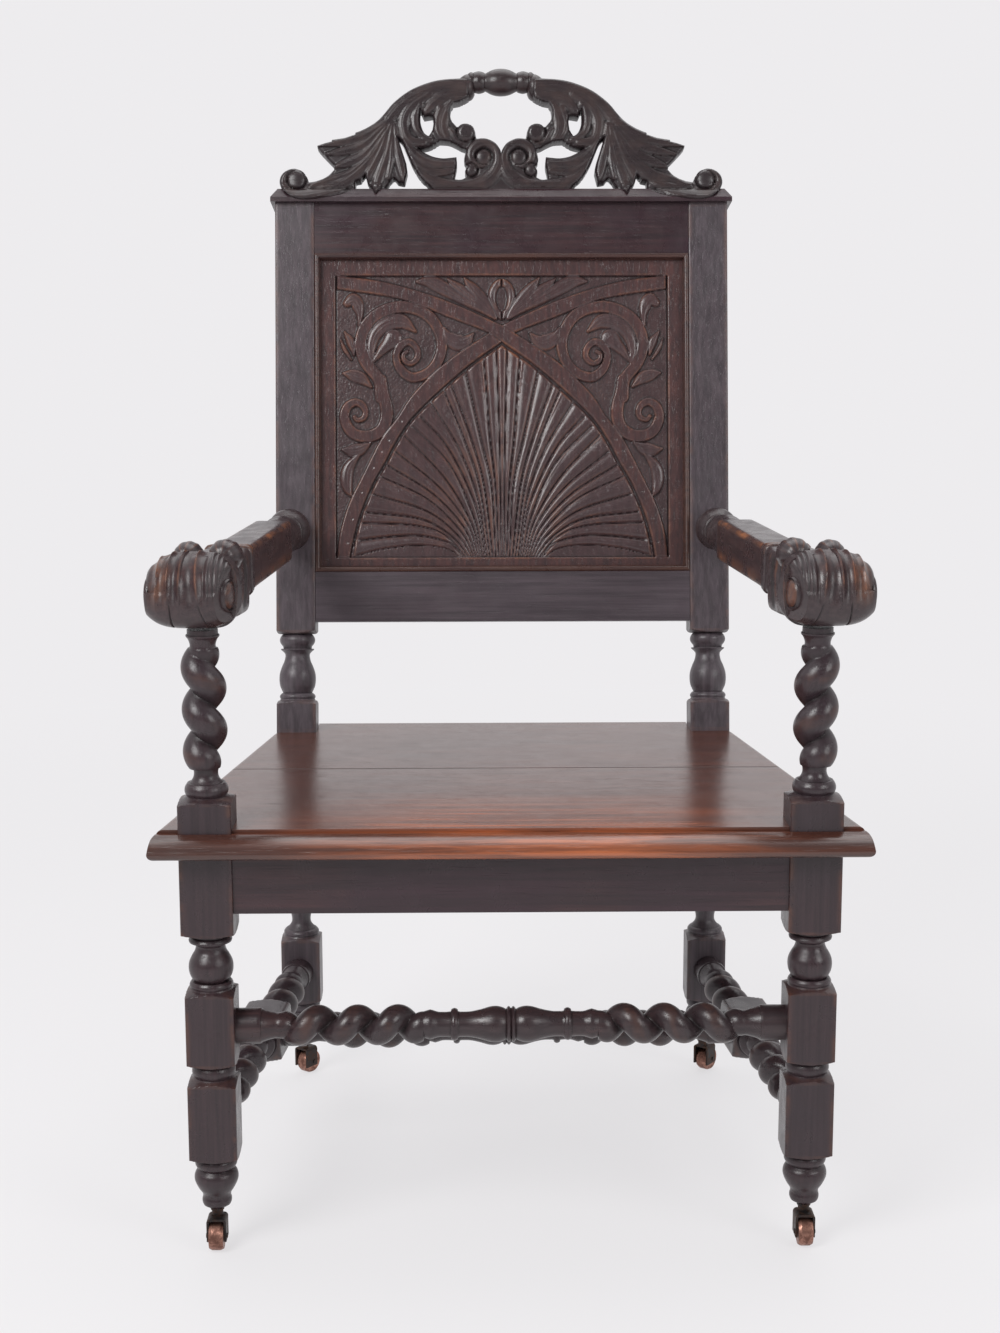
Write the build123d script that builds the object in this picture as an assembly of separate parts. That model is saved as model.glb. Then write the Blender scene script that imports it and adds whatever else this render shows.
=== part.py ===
"""Joined oak armchair with a panelled back, barley-twist supports and castors.

Millimetres, +Z up, +X to the sitter's left, the seat faces -Y. The origin lies on
the floor below the middle of the chair's bounding box. Every piece is laid out
first from the front faces of the front posts (Y = 0) and shifted at the end.
"""

import os
from math import atan2, ceil, cos, degrees, hypot, radians, sin, tan

from build123d import *

# ---------------------------------------------------------------- driving sizes
SEAT_HEIGHT = 455.0        # floor to the top of the seat boards
SEAT_THICKNESS = 24.6
SEAT_FRONT_HALF = 362.9    # half-width of the seat at its front edge
SEAT_SIDE_SLOPE = 0.1455   # inward run of each side edge per unit of depth
SEAT_FRONT_OVERHANG = 25.4  # seat in front of the posts' front faces
SEAT_BACK_OVERHANG = 8.0   # seat behind the rear posts' back faces
SEAT_SIDE_ROUND = 7.0      # worn roundness of the side edges

POST_SECTION = 54.0        # square of a front post at and above the seat
LEG_SECTION = 50.0         # square blocks of a front leg below the rail
STILE_SECTION = 49.0       # square of a rear post
SEAT_SIDE_OVERHANG = 54.4  # seat's front corner beyond a front post's axis
FRONT_POST_X = SEAT_FRONT_HALF - SEAT_SIDE_OVERHANG    # from the middle plane
POST_TAPER = 50.0          # rear post axes stand this much nearer the middle
REAR_POST_X = FRONT_POST_X - POST_TAPER
POST_DEPTH_PITCH = 495.0   # front post axis to rear post axis, along Y
BACK_RAKE = 9.92           # lean of the back above the seat, degrees

FIT = 0.1                  # clearance round each tenon, on every side
SHOULDER_DROP = 4.7        # turned shoulders: corners end this far short

# leg heights, floor upwards
FOOT_BOTTOM = 43.0
LOW_BLOCK_BASE = 99.9
LOW_BLOCK_TOP = 186.6
MID_BLOCK_BASE = 202.2
MID_BLOCK_TOP = 283.1
RAIL_BLOCK_BASE = 341.3
BALL_DRAWN = 58.2          # ball and neck of a front leg as drawn, stretched to fit
VASE_DRAWN = 154.7         # vase of a rear leg as drawn, stretched to fit
ARM_BLOCK_HEIGHT = 29.8    # front post's square above the seat
STILE_BLOCK_HEIGHT = 35.8  # rear post's square above the seat

RAIL_HEIGHT = 62.4
RAIL_THICKNESS = 26.0
RAIL_SETBACK = 4.0         # rails behind the posts' outer faces
TENON_THICKNESS = 10.0
TENON_LENGTH = 22.0
TENON_SHOULDER = 6.0       # rail above and below its tenon

# turned radii
RING_R = 22.3
BALL_R = 22.9
GROOVE_R = 18.5
NECK_R = 15.3
FOOT_NECK_R = 14.6
FOOT_TIP_R = 7.2
TWIST_END_R = 13.2

# barley twist: one strand, wound round the axis
TWIST_PITCH = 43.0
ARM_STRAND_R = 16.4
ARM_STRAND_THROW = 6.0
RUNG_STRAND_R = 13.6
RUNG_STRAND_THROW = 7.0
SECTIONS_PER_TURN = 8
STRAND_SIDES = 12          # flats round a strand
TURNED_SIDES = 16          # flats round a turned piece
CURVE_CHORDS = 2           # straight cuts that make up one curve of a turning

# stretchers
FRONT_STRETCHER_Z = 241.5
LOW_STRETCHER_Z = 143.5
CROSS_BLOCK_Y = 257.5      # middle of the side stretchers' blocks from the post axis
CROSS_BLOCK_LENGTH = 80.0
CROSS_BLOCK_SECTION = 50.0
RUNG_BARREL_R = 18.5       # plain barrel next to each leg
RUNG_BARREL_LENGTH = 27.0
RUNG_WAIST_R = 13.5
ROUND_TENON_R = 9.0
ROUND_TENON_LENGTH = 20.0

# back frame, heights measured up the raked stiles from the seat
BOTTOM_RAIL_BASE = 133.7
BOTTOM_RAIL_HEIGHT = 62.5
TOP_RAIL_HEIGHT = 63.2
STILE_LENGTH = 657.2
BACK_RAIL_THICKNESS = 28.0
BACK_RAIL_SETBACK = 1.5
PANEL_THICKNESS = 14.0
PANEL_SETBACK = 9.0
PANEL_TONGUE = 8.0         # panel edge let into the frame's groove
PANEL_MARGIN_SIDE = 18.5   # plain margin between bead and sunk ground
PANEL_MARGIN_TOP = 18.6
PANEL_MARGIN_FOOT = 10.0
GROUND_DEPTH = 4.5
FAN_PROUD = 2.5
SCROLL_R = 53.0            # big scroll in each upper corner of the panel
SMALL_SCROLL_R = 30.0
SCROLL_BAND = 13.0
BEAD_WIDTH = 7.5

# arms
ARM_WIDTH = 45.0
ARM_HEIGHT = 48.0
ARM_AXIS_FRONT_Z = 697.0
ARM_AXIS_BACK_Z = 709.0
ARM_BAR_START = 138.0      # square bar, measured along the arm from the post axis
ARM_BAR_END = 378.0
GRIP_R = 39.0              # scrolled hand grip
GRIP_HALF_WIDTH = 49.0
GRIP_SEAT_Z = 656.0        # flat under the grip, on the post's collar

# crest
CAP_HEIGHT = 17.5
CAP_SIDE_OVERHANG = 5.0
CAP_HALF_WIDTH = REAR_POST_X + STILE_SECTION / 2 + CAP_SIDE_OVERHANG
CAP_FRONT_OVERHANG = 8.0
CAP_BACK_OVERHANG = 4.0
CREST_THICKNESS = 27.0
CREST_HEIGHT = 153.5
CREST_DRAWN_HALF = 288.0   # the cresting's outline is drawn for this half-width
CREST_DRAWN_HEIGHT = 153.5  # and height, and stretched to the chair's own
BOBBIN_R = 16.4            # turned hand grip in the middle of the cresting

# castors
WHEEL_R = 15.0
WHEEL_WIDTH = 15.0
CASTOR_TRAIL = 9.0
AXLE_R = 2.5
STEM_R = 3.5
FORK_PLATE = 2.4
RUNNING_CLEARANCE = 0.05   # radial, pivots and axles
SIDE_PLAY = 0.4            # wheel to fork, each side
SOCKET_R = 6.2
SOCKET_FLANGE_R = 7.2
SOCKET_FLANGE = 2.0
SOCKET_DEPTH = 24.0
SWIVEL_GAP = 0.3
REAR_CASTOR_TURN = 143.0   # rear wheels stand turned back and to the right, degrees

# ------------------------------------------------------------- worked-out places
FRONT_POST_Y = POST_SECTION / 2
REAR_POST_Y = FRONT_POST_Y + POST_DEPTH_PITCH
SEAT_UNDERSIDE = SEAT_HEIGHT - SEAT_THICKNESS
RAIL_BASE = SEAT_UNDERSIDE - RAIL_HEIGHT
SEAT_BACK_Y = REAR_POST_Y + STILE_SECTION / 2 + SEAT_BACK_OVERHANG
SPLAY = degrees(atan2(FRONT_POST_X - REAR_POST_X, POST_DEPTH_PITCH))
RAKE_PIVOT = (REAR_POST_Y, SEAT_HEIGHT)
CREST_TOP = STILE_LENGTH + CAP_HEIGHT + CREST_HEIGHT


def raked(depth: float, height: float) -> tuple[float, float]:
    """(Y, Z) of a point `depth` behind the stile axis and `height` up the rake."""
    lean = radians(BACK_RAKE)
    y = RAKE_PIVOT[0] + depth * cos(lean) + height * sin(lean)
    z = RAKE_PIVOT[1] - depth * sin(lean) + height * cos(lean)
    return y, z


CREST_DEPTH_FRONT = -STILE_SECTION / 2
CREST_DEPTH_BACK = CREST_DEPTH_FRONT + CREST_THICKNESS
BOBBIN_Z = CREST_TOP - BOBBIN_R - 0.4
BACKMOST_Y = max(
    raked(CREST_DEPTH_BACK, CREST_TOP)[0],
    raked(CREST_DEPTH_FRONT + CREST_THICKNESS / 2, BOBBIN_Z)[0] + BOBBIN_R)
ORIGIN_Y = (BACKMOST_Y - SEAT_FRONT_OVERHANG) / 2


# --------------------------------------------------------------------- helpers
def block(x0, x1, y0, y1, z0, z1) -> Solid:
    """Axis-aligned box between two corners."""
    return Pos(x0, y0, z0) * Solid.make_box(x1 - x0, y1 - y0, z1 - z0)


def mirrored(shape, side: int):
    """The left-hand piece itself, or its mirror image on the other side."""
    return shape if side < 0 else shape.mirror(Plane.YZ)


def many_sided(sides: int, radius: float, centre: tuple) -> Wire:
    """Regular polygon round `centre`, level, as wide as a circle of `radius`."""
    x, y, z = centre
    turns = [radians(360 * (side + 0.5) / sides) for side in range(sides)]
    corners = [(x + radius * cos(turn), y + radius * sin(turn), z) for turn in turns]
    return Wire(Polyline(*corners, close=True).edges())


class Turning:
    """Half profile of a turned piece, built upwards from a starting height."""

    def __init__(self, height: float, radius: float, stretch: float = 1.0):
        self.start = height
        self.height = height
        self.radius = radius
        self.stretch = stretch
        self.edges = []

    def step(self, radius: float):
        """Square step in or out to `radius`."""
        return self.run(radius, 0)

    def run(self, radius: float, rise: float):
        """Straight cone or cylinder to `radius`."""
        rise *= self.stretch
        here = (self.radius, 0, self.height)
        there = (radius, 0, self.height + rise)
        if here != there:
            self.edges.append(Line(here, there))
        self.radius, self.height = radius, self.height + rise
        return self

    def swell(self, radius: float, rise: float, bulge: float):
        """Arc to `radius`, bulging outwards (or inwards when negative)."""
        rise *= self.stretch
        bulge *= min(1, self.stretch)
        dr, dz = radius - self.radius, rise
        chord = hypot(dr, dz)
        middle = (self.radius + dr / 2 + bulge * dz / chord, 0,
                  self.height + dz / 2 - bulge * dr / chord)
        here = (self.radius, 0, self.height)
        there = (radius, 0, self.height + rise)
        curve = ThreePointArc(here, middle, there)
        cuts = [curve @ (index / CURVE_CHORDS) for index in range(CURVE_CHORDS + 1)]
        self.edges += [Line(one, two) for one, two in zip(cuts, cuts[1:])]
        self.radius, self.height = radius, self.height + rise
        return self

    def bead(self, rise: float, bulge: float):
        """Ring that starts and ends at the same radius."""
        return self.swell(self.radius, rise, bulge)

    def solid(self) -> Solid:
        """The profile turned, in narrow flats that run along it."""
        corners = [self.edges[0] @ 0, *[edge @ 1 for edge in self.edges]]
        rings = [many_sided(TURNED_SIDES, corner.X, (0, 0, corner.Z))
                 for corner in corners]
        return Solid.make_loft(rings, ruled=True)

    def round_solid(self) -> Solid:
        """The profile closed on the axis and turned once round it, truly round."""
        first = self.edges[0] @ 0
        last = self.edges[-1] @ 1
        foot, head = (0, 0, first.Z), (0, 0, last.Z)
        outline = Wire([Line(foot, first), *self.edges, Line(last, head),
                        Line(head, foot)])
        return Solid.revolve(Face(outline), 360, Axis.Z)


def square_block(section: float, base: float, top: float,
                 low_shoulder=True, high_shoulder=True) -> Solid:
    """Square of a turned post with the corners rounded off by the lathe."""
    half = section / 2
    corner = half * 2 ** 0.5
    slope = SHOULDER_DROP / (corner - RING_R)
    reach = corner + 1
    drop = (reach - RING_R) * slope
    solid = block(-half, half, -half, half, base, top)
    low_r, low_run = (RING_R, drop) if low_shoulder else (reach, 0)
    high_r, high_run = (RING_R, drop) if high_shoulder else (reach, 0)
    envelope = Turning(base, low_r)
    if low_run:
        envelope.run(reach, low_run)
    envelope.run(reach, top - base - low_run - high_run)
    if high_run:
        envelope.run(high_r, high_run)
    return solid & envelope.solid()


def barley_twist(length: float, strand_r: float, throw: float, end_r: float,
                 hand: int, start_angle: float = 0) -> Solid:
    """One strand wound round the Z axis, running out into plain ends.

    The strand is nearly round and set off the axis by `throw`, which turns once in each
    pitch; at both ends it comes back to the axis and to the end radius.
    """
    turns = length / TWIST_PITCH
    count = max(4, ceil(turns * SECTIONS_PER_TURN))
    rings = []
    for index in range(count + 1):
        at_end = index in (0, count)
        offset, radius = (0, end_r) if at_end else (throw, strand_r)
        angle = radians(start_angle + hand * 360 * turns * index / count)
        centre = (offset * cos(angle), offset * sin(angle), length * index / count)
        rings.append(many_sided(STRAND_SIDES, radius, centre))
    return Solid.make_loft(rings, ruled=True)


def fused(*solids) -> Solid:
    """One clean solid from touching or overlapping ones."""
    result = solids[0].fuse(*solids[1:])
    return result.solid() if hasattr(result, "solid") else result


def cut(solid, *tools) -> Solid:
    """`solid` with every tool taken away."""
    return solid.cut(*tools).solid()


# ------------------------------------------------------------- legs and posts
def foot_and_low_block(section: float) -> list:
    """Turned foot and the lower square block, from the castor upwards."""
    foot = Turning(FOOT_BOTTOM, FOOT_TIP_R)
    foot.run(FOOT_NECK_R, 6).run(FOOT_NECK_R, 6)
    foot.swell(BALL_R, 22, 3.2).swell(GROOVE_R, 11, 2.2)
    foot.run(GROOVE_R + 2, 1).bead(LOW_BLOCK_BASE - foot.height, 2.4)
    return [foot.solid(), square_block(section, LOW_BLOCK_BASE, LOW_BLOCK_TOP)]


def castor_socket_bore() -> Solid:
    """Hole up the foot for the castor's socket."""
    return Pos(0, 0, FOOT_BOTTOM) * Solid.make_cylinder(SOCKET_R, SOCKET_DEPTH)


def front_post() -> Solid:
    """Front leg and twisted arm support in one length, about its own axis."""
    ring = Turning(LOW_BLOCK_TOP, RING_R - 3)
    ring.bead(MID_BLOCK_BASE - LOW_BLOCK_TOP, 3.2)
    ball = Turning(MID_BLOCK_TOP, RING_R - 2,
                   (RAIL_BLOCK_BASE - MID_BLOCK_TOP) / BALL_DRAWN)
    ball.bead(8.4, 2).step(GROOVE_R)
    ball.swell(BALL_R, 15, 1.6).swell(NECK_R, 20, 2.4)
    ball.run(NECK_R, 3.5).run(RING_R, 4).run(RING_R, 7.3)
    arm_block_top = SEAT_HEIGHT + ARM_BLOCK_HEIGHT
    base = Turning(arm_block_top, RING_R - 3)
    base.bead(15.4, 3).step(TWIST_END_R + 3.7)
    base.swell(TWIST_END_R, 15, -3)
    head = Turning(GRIP_SEAT_Z - 20, TWIST_END_R)
    head.run(TWIST_END_R, 4).swell(16.6, 11, -2).run(16.6, 5)
    twist = Pos(0, 0, base.height) * barley_twist(
        head.start - base.height, ARM_STRAND_R, ARM_STRAND_THROW, TWIST_END_R,
        hand=-1, start_angle=150)
    tenon = Pos(0, 0, GRIP_SEAT_Z) * Solid.make_cylinder(
        ROUND_TENON_R, ROUND_TENON_LENGTH)
    post = fused(*foot_and_low_block(LEG_SECTION), ring.solid(),
                 square_block(LEG_SECTION, MID_BLOCK_BASE, MID_BLOCK_TOP),
                 ball.solid(),
                 square_block(POST_SECTION, RAIL_BLOCK_BASE, arm_block_top),
                 base.solid(), twist, head.solid(), tenon)
    return cut(post, castor_socket_bore())


def rear_leg() -> Solid:
    """Lower half of a rear post, upright, about its own axis."""
    vase = Turning(LOW_BLOCK_TOP, RING_R - 3,
                   (RAIL_BLOCK_BASE - LOW_BLOCK_TOP) / VASE_DRAWN)
    vase.bead(9, 3).step(GROOVE_R)
    vase.swell(12, 11, -2).swell(BALL_R, 50, -3)
    vase.swell(NECK_R, 42, 6).run(NECK_R, 10).run(RING_R - 3, 4).bead(28.7, 3)
    return fused(*foot_and_low_block(STILE_SECTION), vase.solid(),
                 square_block(STILE_SECTION, RAIL_BLOCK_BASE, SEAT_HEIGHT,
                              high_shoulder=False))


def raked_stile() -> Solid:
    """Upper half of a rear post in its own upright frame, seat level at Z = 0."""
    half = STILE_SECTION / 2
    ball = Turning(STILE_BLOCK_HEIGHT, RING_R - 3)
    ball.bead(11, 3).step(GROOVE_R + 1)
    ball.swell(BALL_R, 20, 1.6).swell(NECK_R, 26, 3.6).run(NECK_R, 3)
    ball.run(20.3, 1.5).run(20.3, 3).swell(GROOVE_R, 5, 1.2).step(RING_R - 3)
    ball.bead(13.7, 3)
    wedge = half * tan(radians(BACK_RAKE))
    low = square_block(STILE_SECTION, -wedge, STILE_BLOCK_HEIGHT, low_shoulder=False)
    high = block(-half, half, -half, half, ball.height, STILE_LENGTH)
    return fused(low, ball.solid(), high)


def lean_back(shape):
    """Turn a piece from the upright frame of the stiles onto the raked back."""
    tilt = Rot(-BACK_RAKE, 0, 0)
    return Pos(0, RAKE_PIVOT[0], RAKE_PIVOT[1]) * tilt * shape


# ------------------------------------------------------------------ seat rails
def rail_centre_offset(section: float) -> float:
    """Rail middle from its post's axis, towards the outside of the chair."""
    return section / 2 - RAIL_SETBACK - RAIL_THICKNESS / 2


def cross_tenon(x_end: float, y_mid: float, side: int, grow: float = 0) -> Solid:
    """Tenon of a front or rear rail, pointing outwards along X."""
    z0 = RAIL_BASE + TENON_SHOULDER - grow
    z1 = SEAT_UNDERSIDE - TENON_SHOULDER + grow
    half = TENON_THICKNESS / 2 + grow
    tip = x_end + side * (TENON_LENGTH + grow)
    return block(min(x_end, tip), max(x_end, tip), y_mid - half, y_mid + half,
                 z0, z1)


def side_tenon(y_end: float, x_mid: float, direction: int, grow: float = 0) -> Solid:
    """Tenon of a side rail, pointing into a post along Y."""
    z0 = RAIL_BASE + TENON_SHOULDER - grow
    z1 = SEAT_UNDERSIDE - TENON_SHOULDER + grow
    half = TENON_THICKNESS / 2 + grow
    tip = y_end + direction * (TENON_LENGTH + grow)
    return block(x_mid - half, x_mid + half, min(y_end, tip), max(y_end, tip),
                 z0, z1)


FRONT_RAIL_Y = FRONT_POST_Y - rail_centre_offset(POST_SECTION)
REAR_RAIL_Y = REAR_POST_Y + rail_centre_offset(STILE_SECTION)
FRONT_RAIL_END = FRONT_POST_X - POST_SECTION / 2
REAR_RAIL_END = REAR_POST_X - STILE_SECTION / 2
FRONT_STRETCHER_HALF = FRONT_POST_X - LEG_SECTION / 2
SIDE_RAIL_FRONT_X = FRONT_POST_X + rail_centre_offset(POST_SECTION)
SIDE_RAIL_BACK_X = REAR_POST_X + rail_centre_offset(STILE_SECTION)
SIDE_RAIL_FRONT_Y = FRONT_POST_Y + POST_SECTION / 2
SIDE_RAIL_BACK_Y = REAR_POST_Y - STILE_SECTION / 2


def straight_rail(half_length: float, y_mid: float) -> Solid:
    """Front or rear seat rail with a tenon at each end."""
    half = RAIL_THICKNESS / 2
    rail = block(-half_length, half_length, y_mid - half, y_mid + half,
                 RAIL_BASE, SEAT_UNDERSIDE)
    return fused(rail, cross_tenon(-half_length, y_mid, -1),
                 cross_tenon(half_length, y_mid, 1))


def side_rail() -> Solid:
    """Left seat rail: oblique in plan, square where it meets the posts."""
    half = RAIL_THICKNESS / 2
    plan = Polyline((-SIDE_RAIL_FRONT_X - half, SIDE_RAIL_FRONT_Y),
                    (-SIDE_RAIL_FRONT_X + half, SIDE_RAIL_FRONT_Y),
                    (-SIDE_RAIL_BACK_X + half, SIDE_RAIL_BACK_Y),
                    (-SIDE_RAIL_BACK_X - half, SIDE_RAIL_BACK_Y), close=True)
    face = Pos(0, 0, RAIL_BASE) * Face(Wire(plan.edges()))
    rail = Solid.extrude(face, Vector(0, 0, RAIL_HEIGHT))
    return fused(rail, side_tenon(SIDE_RAIL_FRONT_Y, -SIDE_RAIL_FRONT_X, -1),
                 side_tenon(SIDE_RAIL_BACK_Y, -SIDE_RAIL_BACK_X, 1))


# ----------------------------------------------------------------- stretchers
def rung_end(length: float, hand: int) -> list:
    """Half rung from its twist to the leg: collar, waist and plain barrel.

    Built upwards from Z = 0, where the twist starts, to `length` at the leg.
    """
    waist = 18.0
    twist_length = length - waist - RUNG_BARREL_LENGTH
    twist = barley_twist(twist_length, RUNG_STRAND_R, RUNG_STRAND_THROW,
                         RUNG_WAIST_R, hand)
    end = Turning(twist_length, RUNG_WAIST_R)
    end.run(RUNG_WAIST_R, waist / 2).run(RUNG_WAIST_R + 2, waist / 2)
    end.step(RUNG_BARREL_R - 1.5).run(RUNG_BARREL_R, 2)
    end.run(RUNG_BARREL_R, length - end.height)
    return [twist, end.solid()]


CENTRE_LENGTH = 90.0       # middle of a cross rung to the start of its twist


def rung_centre() -> Solid:
    """Half of the turned middle: paired bead, baluster, thin ring and reel."""
    centre = Turning(0, 16.4)
    centre.bead(5, 1.7).step(14.5)
    centre.swell(18, 15, 1.6).swell(12, 24, 1.8)
    centre.swell(13.5, 12, -1).run(16.2, 1).run(16.2, 2).run(13, 1)
    centre.swell(12.3, 8, -0.6).run(12.3, 14)
    centre.run(RUNG_WAIST_R, CENTRE_LENGTH - centre.height)
    return centre.solid()


def cross_rung(half_length: float, y_mid: float, z_mid: float) -> Solid:
    """Rung along X, alike on both sides, with mirrored twists."""
    outer = [Pos(0, 0, CENTRE_LENGTH) * piece
             for piece in rung_end(half_length - CENTRE_LENGTH, hand=-1)]
    half = fused(rung_centre(), *outer)
    right = Pos(0, y_mid, z_mid) * Rot(0, 90, 0) * half
    return fused(right, right.mirror(Plane.YZ))


def cross_peg(x_face: float, y_mid: float, z_mid: float, grow: float = 0) -> Solid:
    """Round tenon on the left end of a cross rung; `grow` makes its bore."""
    root = 2.0
    peg = Solid.make_cylinder(ROUND_TENON_R + grow, root + ROUND_TENON_LENGTH + grow)
    return Pos(-x_face + root, y_mid, z_mid) * Rot(0, -90, 0) * peg


def pegged(rung, x_face: float, y_mid: float, z_mid: float) -> Solid:
    """Cross rung with its round tenon at each end."""
    peg = cross_peg(x_face, y_mid, z_mid)
    return fused(rung, peg, peg.mirror(Plane.YZ))


def splayed(y_from_post: float, height: float) -> Location:
    """Frame on the left side's post-to-post line, its Z axis towards the back."""
    run = y_from_post / POST_DEPTH_PITCH
    x = -FRONT_POST_X + run * (FRONT_POST_X - REAR_POST_X)
    return Pos(x, FRONT_POST_Y + y_from_post, height) * Rot(
        0, 0, -SPLAY) * Rot(-90, 0, 0)


FRONT_SPAN = CROSS_BLOCK_Y - CROSS_BLOCK_LENGTH / 2 - LEG_SECTION / 2
BACK_SPAN = (POST_DEPTH_PITCH - CROSS_BLOCK_Y - CROSS_BLOCK_LENGTH / 2
             - STILE_SECTION / 2)


OBLIQUE = 1 / cos(radians(SPLAY))    # lengths along the splayed line against Y
END_TRIM = RUNG_BARREL_R * tan(radians(SPLAY)) + 1    # cut off square to a face


def side_bar(span: float, hand: int) -> Solid:
    """Twisted bar from the cross block to just past a leg's face."""
    neck = Turning(0, RING_R - 4)
    neck.bead(8, 2).run(RUNG_WAIST_R, 6)
    length = span * OBLIQUE + END_TRIM - neck.height
    twist, end = rung_end(length, hand)
    return fused(neck.solid(), Pos(0, 0, neck.height) * twist,
                 Pos(0, 0, neck.height) * end)


def side_peg(direction: int, grow: float = 0) -> Solid:
    """Round tenon of a side stretcher in a leg; `grow` makes its bore."""
    root = 3.0
    span = BACK_SPAN if direction > 0 else FRONT_SPAN
    start = (CROSS_BLOCK_LENGTH / 2 + span) * OBLIQUE - root
    peg = Pos(0, 0, start) * Solid.make_cylinder(
        ROUND_TENON_R + grow, root + ROUND_TENON_LENGTH + grow)
    if direction < 0:
        peg = Rot(180, 0, 0) * peg
    return splayed(CROSS_BLOCK_Y, LOW_STRETCHER_Z) * peg


def side_stretcher() -> Solid:
    """Left side stretcher: two twisted bars either side of a square block."""
    half_block = CROSS_BLOCK_LENGTH / 2 * OBLIQUE
    middle = square_block(CROSS_BLOCK_SECTION, -half_block, half_block)
    backward = Pos(0, 0, half_block) * side_bar(BACK_SPAN, hand=1)
    forward = Rot(180, 0, 0) * (Pos(0, 0, half_block) * side_bar(FRONT_SPAN, hand=1))
    bar = splayed(CROSS_BLOCK_Y, LOW_STRETCHER_Z) * fused(middle, backward, forward)
    between = block(-FRONT_POST_X - 100, 0, FRONT_POST_Y + LEG_SECTION / 2,
                    REAR_POST_Y - STILE_SECTION / 2, 0, SEAT_HEIGHT)
    whole = fused((bar & between).solid(), side_peg(1), side_peg(-1))
    return cut(whole, cross_peg(MIDDLE_HALF_LENGTH, MIDDLE_Y, LOW_STRETCHER_Z, FIT))


def middle_stretcher() -> Solid:
    """Cross stretcher of the H, its ends cut to the oblique blocks' faces."""
    rung = cross_rung(MIDDLE_HALF_LENGTH + END_TRIM, MIDDLE_Y, LOW_STRETCHER_Z)
    reach = 4 * CROSS_BLOCK_SECTION
    beyond = splayed(CROSS_BLOCK_Y, LOW_STRETCHER_Z) * block(
        -reach, CROSS_BLOCK_SECTION / 2, -reach, reach, -reach, reach)
    rung = cut(rung, beyond, beyond.mirror(Plane.YZ))
    return pegged(rung, MIDDLE_HALF_LENGTH, MIDDLE_Y, LOW_STRETCHER_Z)


CROSS_BLOCK_X = FRONT_POST_X - CROSS_BLOCK_Y / POST_DEPTH_PITCH * (
    FRONT_POST_X - REAR_POST_X)
MIDDLE_HALF_LENGTH = CROSS_BLOCK_X - CROSS_BLOCK_SECTION / 2 * OBLIQUE
MIDDLE_Y = FRONT_POST_Y + CROSS_BLOCK_Y


# ------------------------------------------------------------------------ seat
def seat_edge_x(y: float) -> float:
    """Half-width of the seat at depth `y`."""
    return SEAT_FRONT_HALF - (y + SEAT_FRONT_OVERHANG) * SEAT_SIDE_SLOPE


def seat_slab() -> Solid:
    """Whole seat: moulded front edge, rounded sides, square back."""
    platform_y = 7.0       # top surface starts this far behind the posts' faces
    fillet_drop = 4.0
    nose_z = SEAT_HEIGHT - 17.0
    front = -SEAT_FRONT_OVERHANG
    points = [(platform_y, SEAT_HEIGHT), (platform_y, SEAT_HEIGHT - fillet_drop)]
    nose = (front, nose_z)
    under = (front + 5, SEAT_UNDERSIDE)
    edges = [
        Line((0, SEAT_BACK_Y, SEAT_HEIGHT), (0, *points[0])),
        Line((0, *points[0]), (0, *points[1])),
        ThreePointArc((0, *points[1]), (0, front + 9, nose_z + 8.6), (0, *nose)),
        ThreePointArc((0, *nose), (0, front + 1, SEAT_UNDERSIDE + 2.4), (0, *under)),
        Line((0, *under), (0, SEAT_BACK_Y, SEAT_UNDERSIDE)),
        Line((0, SEAT_BACK_Y, SEAT_UNDERSIDE), (0, SEAT_BACK_Y, SEAT_HEIGHT)),
    ]
    profile = Pos(-SEAT_FRONT_HALF - 1, 0, 0) * Face(Wire(edges))
    slab = Solid.extrude(profile, Vector(2 * SEAT_FRONT_HALF + 2, 0, 0))
    back = SEAT_BACK_Y + 1
    ahead = front - 1
    plan = Polyline((-seat_edge_x(ahead), ahead), (seat_edge_x(ahead), ahead),
                    (seat_edge_x(back), back), (-seat_edge_x(back), back),
                    close=True)
    face = Pos(0, 0, SEAT_UNDERSIDE) * Face(Wire(plan.edges()))
    outline = Solid.extrude(face, Vector(0, 0, SEAT_THICKNESS))
    side_edges = [edge for edge in outline.edges()
                  if edge.length > 2 * SEAT_THICKNESS and abs(edge.center().X) > 1]
    rounded = outline.fillet(SEAT_SIDE_ROUND, side_edges)
    return (slab & rounded).solid()


SEAT_JOINT_Y = 288.0


def seat_board(front: bool) -> Solid:
    """Front or rear seat board, cut round the posts."""
    slab = seat_slab()
    low, high = SEAT_UNDERSIDE - 1, SEAT_HEIGHT + 1
    wide = SEAT_FRONT_HALF + 1
    y0, y1 = (-SEAT_FRONT_OVERHANG - 1, SEAT_JOINT_Y) if front else (
        SEAT_JOINT_Y, SEAT_BACK_Y + 1)
    board = (slab & block(-wide, wide, y0, y1, low, high)).solid()
    tools = []
    for side in (-1, 1):
        if front:
            half = POST_SECTION / 2 + FIT
            x = side * FRONT_POST_X
            tools.append(block(x - half, x + half, FRONT_POST_Y - half,
                               FRONT_POST_Y + half, low, high))
        else:
            inner = REAR_POST_X - STILE_SECTION / 2 - FIT
            xs = sorted((side * inner, side * wide))
            tools.append(block(*xs, REAR_POST_Y - STILE_SECTION / 2 - FIT,
                               SEAT_BACK_Y + 1, low, high))
    return cut(board, *tools)


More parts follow.
